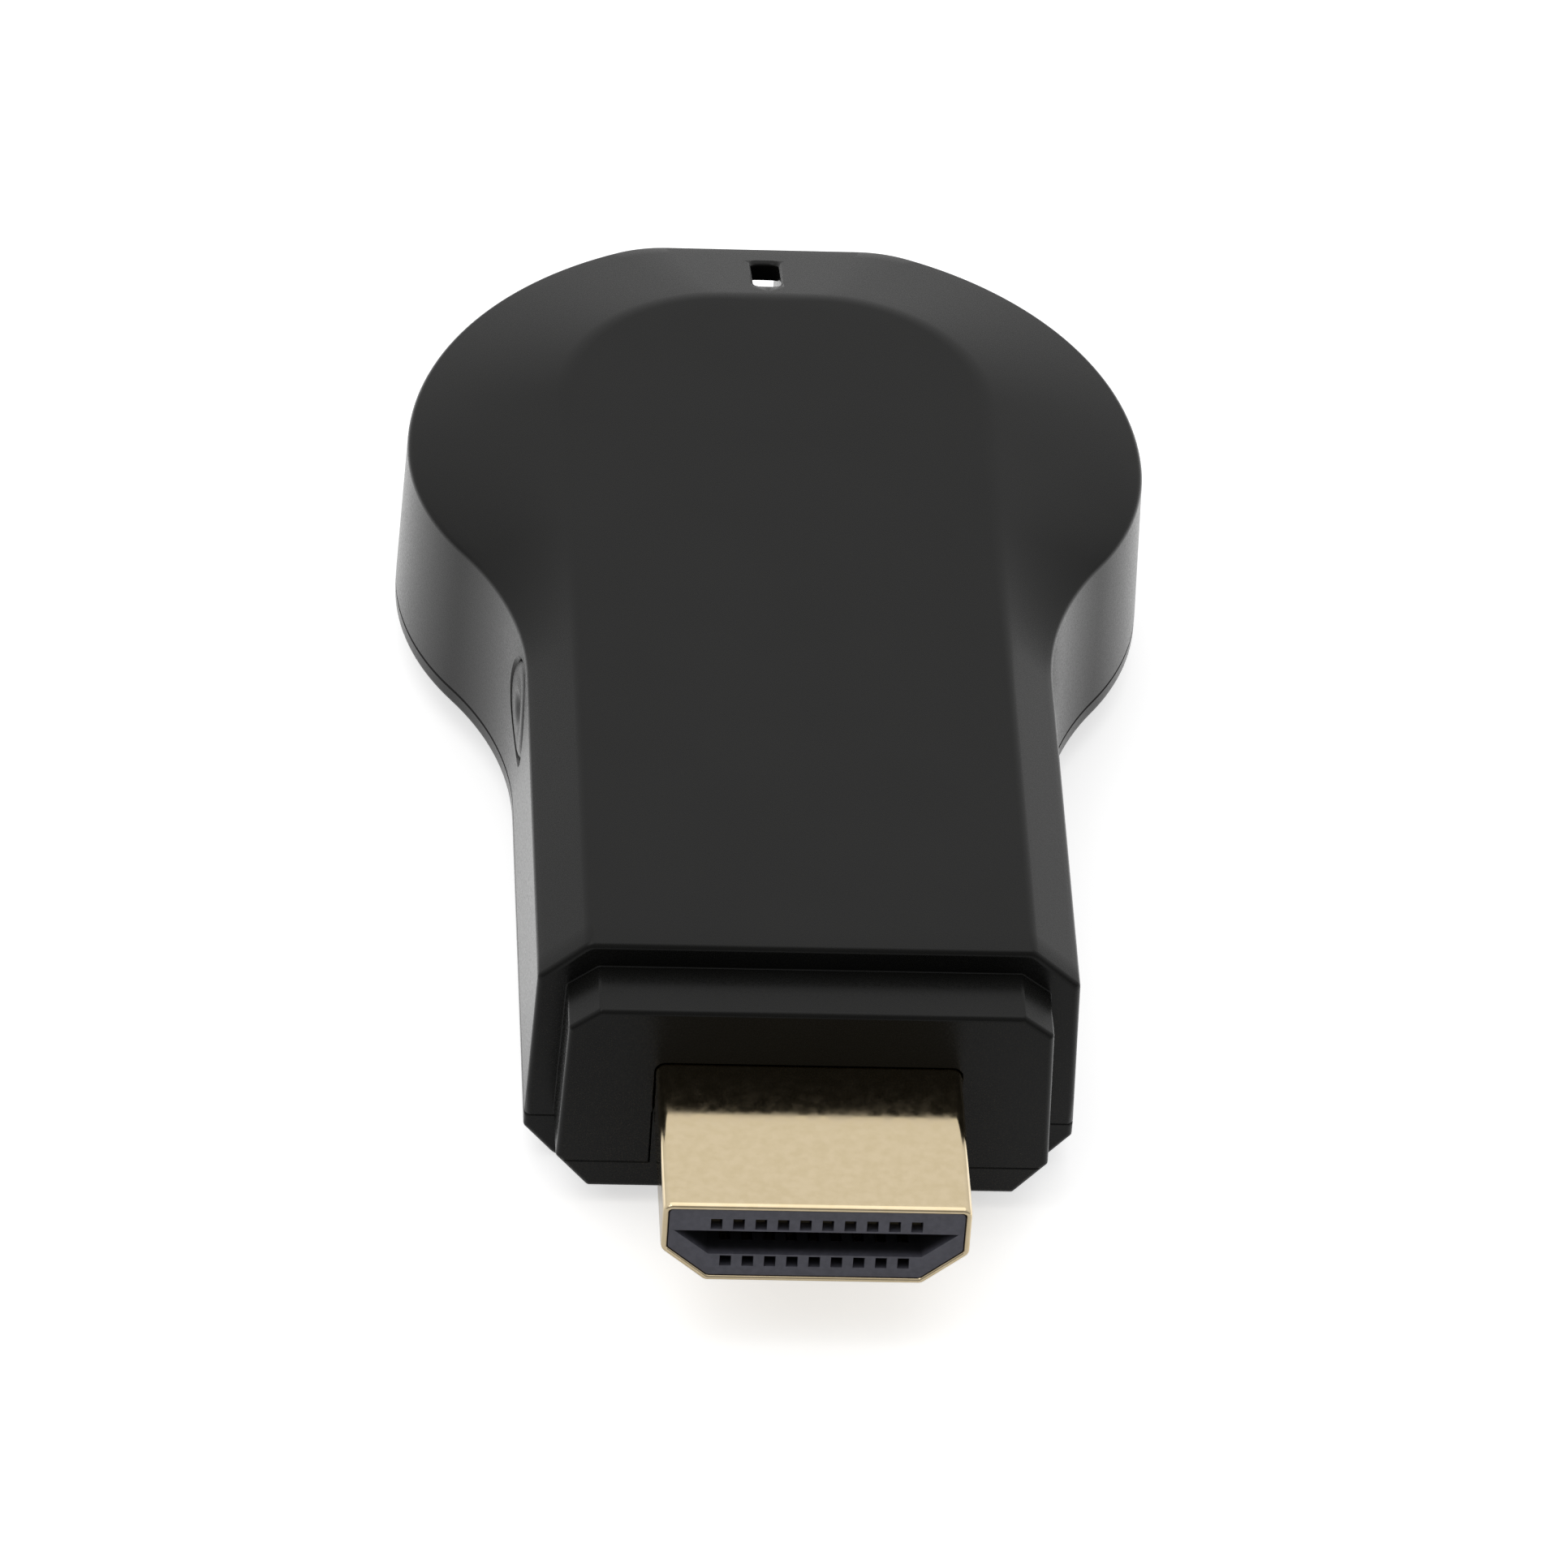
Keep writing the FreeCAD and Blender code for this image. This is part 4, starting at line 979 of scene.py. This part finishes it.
copper = grained("copper under solder mask", "#9a6a3c", "#a97646", 0.3, 0.4, metallic=1.0)
print("materials", len(bpy.data.materials))

# %% [markdown]
# ## Contacts
# Each contact is a strip of plated spring metal. The plug's contacts run straight, bend in towards the slot
# and run back to the board, and the tree lays them out. The socket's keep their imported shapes.

# %% Contact strips
CONTACT_PITCH = 1.0
CONTACT_WIDTH = 0.4
CONTACT_THICKNESS = 0.2
CONTACT_HEIGHT = 0.8
SPRING_LENGTH = 6.3
SPRING_DIP = 0.35
SPRING_STEPS = 12


def strip(name, line, side):
    """A contact's strip along a line of (y, z) points, across X, thickened towards the given side."""
    half = CONTACT_WIDTH / 2
    outer = [(y, z + side * CONTACT_THICKNESS) for y, z in line]
    loop = line + list(reversed(outer))
    rings = [[Vector((x, y, z)) for y, z in loop] for x in (-half, half)]
    return new_piece(name, *skin_rings(rings))


def plug_contact(side):
    """One strip of the upper or lower row, bent round a smooth curve in its spring."""
    front = tip_y + 0.6
    spring = front + 1.0
    heel = inside_y + 0.05 + 0.4 + 0.5 + 0.3
    line = [(front, CONTACT_HEIGHT)]
    for step in range(SPRING_STEPS + 1):
        share = step / SPRING_STEPS
        line.append((spring + SPRING_LENGTH * share, CONTACT_HEIGHT - SPRING_DIP * math.sin(math.pi * share)))
    line.append((heel + 0.2, CONTACT_HEIGHT))
    line = [(y, PLUG_Z + side * z) for y, z in line]
    return strip("contact", line, side)


def laid_in_row(name, piece, count):
    """A plain mesh of the contact repeated across the plug."""
    row = added(name, bpy.data.meshes.new(name))
    modifier = row.modifiers.new("row", "NODES")
    modifier.node_group = row_of_pieces
    given = {"Piece": piece, "Count": count, "Pitch": Vector((CONTACT_PITCH, 0, 0)) * MM, "Material": plating}
    for item in row_of_pieces.interface.items_tree:
        if item.name in given and item.in_out == "INPUT":
            modifier[item.identifier] = given[item.name]
    work_in_modifiers(row)
    bpy.data.objects.remove(piece)
    return row


upper_contacts = laid_in_row("plug_contacts_upper", plug_contact(1), 10)
lower_contacts = laid_in_row("plug_contacts_lower", plug_contact(-1), 9)
print("contact faces", len(upper_contacts.data.polygons), len(lower_contacts.data.polygons))

# %% [markdown]
# ## Giving each piece its finish and its place in the frame
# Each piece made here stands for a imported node, so that node is hidden, and the piece rides on the same
# body. Flat faces next to narrow roundings shade well only when the large faces set the normals, so every
# such piece gets weighted normals.

# %% Finishing the new pieces
SHARP_ANGLE = math.radians(35.0)


def dress(piece, material, node, body="casing"):
    """Gives the piece its material and its normals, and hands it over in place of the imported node."""
    piece.data.materials.clear()
    piece.data.materials.append(material)
    for polygon in piece.data.polygons:
        polygon.material_index = 0
    piece.data.shade_smooth()
    piece.data.set_sharp_from_angle(angle=SHARP_ANGLE)
    weighted = piece.modifiers.new("weighted", "WEIGHTED_NORMAL")
    weighted.keep_sharp = True
    work_in_modifiers(piece)
    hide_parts(node)
    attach(piece, body)


dress(top_shell, abs_black, "top_shell")
dress(bottom_shell, abs_black, "bottom_shell")
dress(plug, plating, "hdmi_shell")
dress(plug_moulding, nylon_with_painted_slot_shade, "hdmi_insulator")
dress(upper_contacts, plating, "hdmi_contacts_upper")
dress(lower_contacts, plating, "hdmi_contacts_lower")
dress(socket, tinned_steel, "micro_usb_shell")
dress(socket_moulding, grey_nylon, "micro_usb_insulator")
dress(cap, abs_black, "mode_button_cap", "mode_button")

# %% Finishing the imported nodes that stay
node_finishes = {
    "main_board": solder_mask,
    "processor": epoxy,
    "memory_chip": epoxy,
    "wifi_chip": epoxy,
    "flash_chip": epoxy,
    "voltage_regulator": epoxy,
    "hdmi_esd_arrays": epoxy,
    "switch_body": epoxy,
    "switch_plunger": epoxy,
    "thermal_pad": silicone,
    "heat_spreader": rolled_aluminium,
    "wifi_shield_can": tinned_steel,
    "wifi_crystal": tinned_steel,
    "system_crystal": tinned_steel,
    "switch_dome": tinned_steel,
    "switch_cover": tinned_steel,
    "switch_terminals": tinned_steel,
    "power_inductors": ferrite,
    "bulk_capacitors": tantalum_case,
    "ceramic_capacitors": fired_ceramic,
    "chip_resistors": coated_ceramic,
    "printed_antenna": copper,
    "micro_usb_contacts": plating,
}
for node, material in node_finishes.items():
    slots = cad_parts[node].data.materials
    if slots:
        slots[0] = material
    else:
        slots.append(material)
print("packed nodes finished", len(node_finishes))

# %% [markdown]
# ## Ground, light and camera
# The stick lies on a plain pale ground under soft studio light, from a light high on the left and a wide
# one overhead. The camera sees the ground as white, with the stick's shadow. Shiny surfaces see painted
# light on it: a painted glow, brightest beside and behind the stick, and painted shade in front of it,
# which draws the sheen on the side walls.

# %% Ground
GROUND_HALF = 3.0
# Painted light on the ground, seen only by shiny surfaces: painted shade in front of the stick, a painted
# glow behind it that fades far from it.
PAINTED_LIGHT_FRONT_TO_BACK = (-0.038, -0.014, 0.03, 0.72)
PAINTED_LIGHT_NEAR_TO_FAR = (0.06, 0.25, 1.0, 0.2)
DIRECT_GLOW = 0.6


def pale_ground():
    """A sheet of paper that the camera sees as white, and on which shiny surfaces see painted light: a
    painted glow behind and round the stick and painted shade in front of it.
    """
    mesh = bpy.data.meshes.new("ground")
    corners = [(x * GROUND_HALF, y * GROUND_HALF, 0) for x, y in ((-1, -1), (1, -1), (1, 1), (-1, 1))]
    mesh.from_pydata(corners, [], [(0, 1, 2, 3)])
    ground = added("ground", mesh)
    material, tree, shader = new_material("white paper", "#e6e6e6", roughness=1.0)
    shader.inputs["Specular IOR Level"].default_value = 0.0
    place = add_node(tree, "ShaderNodeTexCoord")
    line = {1: (0.3, 1.0, 0.0)}
    dot = {"operation": "DOT_PRODUCT"}
    across = add_node(tree, "ShaderNodeVectorMath", dot, line, {0: place.outputs["Object"]})
    # Painted light for shiny surfaces only: shade painted in front of the stick and a glow painted behind it
    # and round it.
    behind = span(tree, across.outputs["Value"], *PAINTED_LIGHT_FRONT_TO_BACK)
    away = add_node(tree, "ShaderNodeVectorMath", {"operation": "LENGTH"}, links={0: place.outputs["Object"]})
    painted_glow_pool = span(tree, away.outputs["Value"], *PAINTED_LIGHT_NEAR_TO_FAR)
    product = {0: behind.outputs[0], 1: painted_glow_pool.outputs[0]}
    glossy = add_node(tree, "ShaderNodeMath", {"operation": "MULTIPLY"}, links=product)
    reflected = add_node(tree, "ShaderNodeEmission", links={"Strength": glossy.outputs[0]})
    direct = add_node(tree, "ShaderNodeEmission", values={"Strength": DIRECT_GLOW})
    path = add_node(tree, "ShaderNodeLightPath")
    camera_ray = path.outputs["Is Camera Ray"]
    larger = {"operation": "MAXIMUM"}
    both = {0: path.outputs["Is Glossy Ray"], 1: path.outputs["Is Transmission Ray"]}
    polished = add_node(tree, "ShaderNodeMath", larger, links=both)
    glows = {0: camera_ray, 1: reflected.outputs[0], 2: direct.outputs[0]}
    glow = add_node(tree, "ShaderNodeMixShader", links=glows)
    seen = add_node(tree, "ShaderNodeMath", larger, links={0: polished.outputs[0], 1: camera_ray})
    lifted = add_node(tree, "ShaderNodeAddShader", links={0: shader.outputs[0], 1: glow.outputs[0]})
    looks = {0: seen.outputs[0], 1: shader.outputs[0], 2: lifted.outputs[0]}
    mixed = add_node(tree, "ShaderNodeMixShader", links=looks)
    tree.links.new(mixed.outputs[0], tree.nodes["Material Output"].inputs["Surface"])
    mesh.materials.append(material)


pale_ground()

# %% Light
SKY_FRONT_TO_BACK = (-0.75, 0.45, 0.3, 0.92)
SKY_LOW_TO_HIGH = (0.0, 0.5, 0.82, 1.0)


def soft_sky():
    """A white studio that is dim on the camera's side; the camera sees it as white all round."""
    world = bpy.data.worlds.new("soft sky")
    bpy.context.scene.world = world
    world.use_nodes = True
    tree = world.node_tree
    back = tree.nodes["Background"]
    back.inputs["Color"].default_value = (1, 1, 1, 1)
    place = add_node(tree, "ShaderNodeTexCoord")
    way = add_node(tree, "ShaderNodeSeparateXYZ", links={0: place.outputs["Generated"]})
    smooth = {"interpolation_type": "SMOOTHSTEP"}
    graded = span(tree, way.outputs["Y"], *SKY_FRONT_TO_BACK, smooth)
    dimmed = span(tree, way.outputs["Z"], *SKY_LOW_TO_HIGH)
    product = {0: graded.outputs[0], 1: dimmed.outputs[0]}
    studio = add_node(tree, "ShaderNodeMath", {"operation": "MULTIPLY"}, links=product)
    path = add_node(tree, "ShaderNodeLightPath")
    links = {"Factor": path.outputs["Is Camera Ray"], "A": studio.outputs[0]}
    strength = add_node(tree, "ShaderNodeMix", values={"B": 1.0}, links=links)
    tree.links.new(strength.outputs[0], back.inputs["Strength"])


def area_light(name, place, size, power):
    """A rectangle of light at the place, turned to the origin."""
    lamp = bpy.data.lights.new(name, "AREA")
    lamp.shape = "RECTANGLE"
    lamp.size, lamp.size_y = size
    lamp.energy = power
    holder = added(name, lamp)
    holder.location = place
    holder.rotation_euler = (-Vector(place)).to_track_quat("-Z", "Y").to_euler()


soft_sky()
area_light("key light", (-0.5, -0.2, 0.9), (0.7, 0.7), 1.5)
area_light("top light", (0, 0.2, 1.0), (1.1, 0.9), 2.0)

# %% Camera
VIEW_HEIGHT = math.radians(39.0)
VIEW_SIDE = math.radians(5.026)
VIEW_ROLL = math.radians(-4.301)
DISTANCE = 570.54
AIM = Vector((0, 33.0 + tip_y, 6.0))
SHIFT = (0.081, 0.077)
FOCAL_PIXELS = 15000
FRAME_PIXELS = 1932
SENSOR_WIDTH = 36.0


def photo_camera():
    """A long lens at the photograph's distance, height and tilt."""
    turn = Matrix.Rotation(VIEW_SIDE, 3, "Z")
    sine, cosine = math.sin(VIEW_HEIGHT), math.cos(VIEW_HEIGHT)
    tilt = Matrix(((1, 0, 0), (0, sine, cosine), (0, -cosine, sine)))
    roll = Matrix.Rotation(VIEW_ROLL, 3, "Z")
    to_camera = roll @ tilt @ turn
    place = AIM + to_camera.transposed() @ Vector((-SHIFT[0], -SHIFT[1], DISTANCE))
    data = bpy.data.cameras.new("camera")
    data.sensor_width = SENSOR_WIDTH
    data.lens = data.sensor_width * FOCAL_PIXELS / FRAME_PIXELS
    camera = added("camera", data)
    camera.matrix_world = Matrix.Translation(place * MM) @ to_camera.transposed().to_4x4()
    bpy.context.scene.camera = camera
    return camera


camera = photo_camera()
print("camera at", [round(v, 4) for v in camera.location])

# %% [markdown]
# ## Colour view
# The colours are shown as they are, with no film look.

# %% Finish
scene = bpy.context.scene
scene.view_settings.view_transform = "Standard"
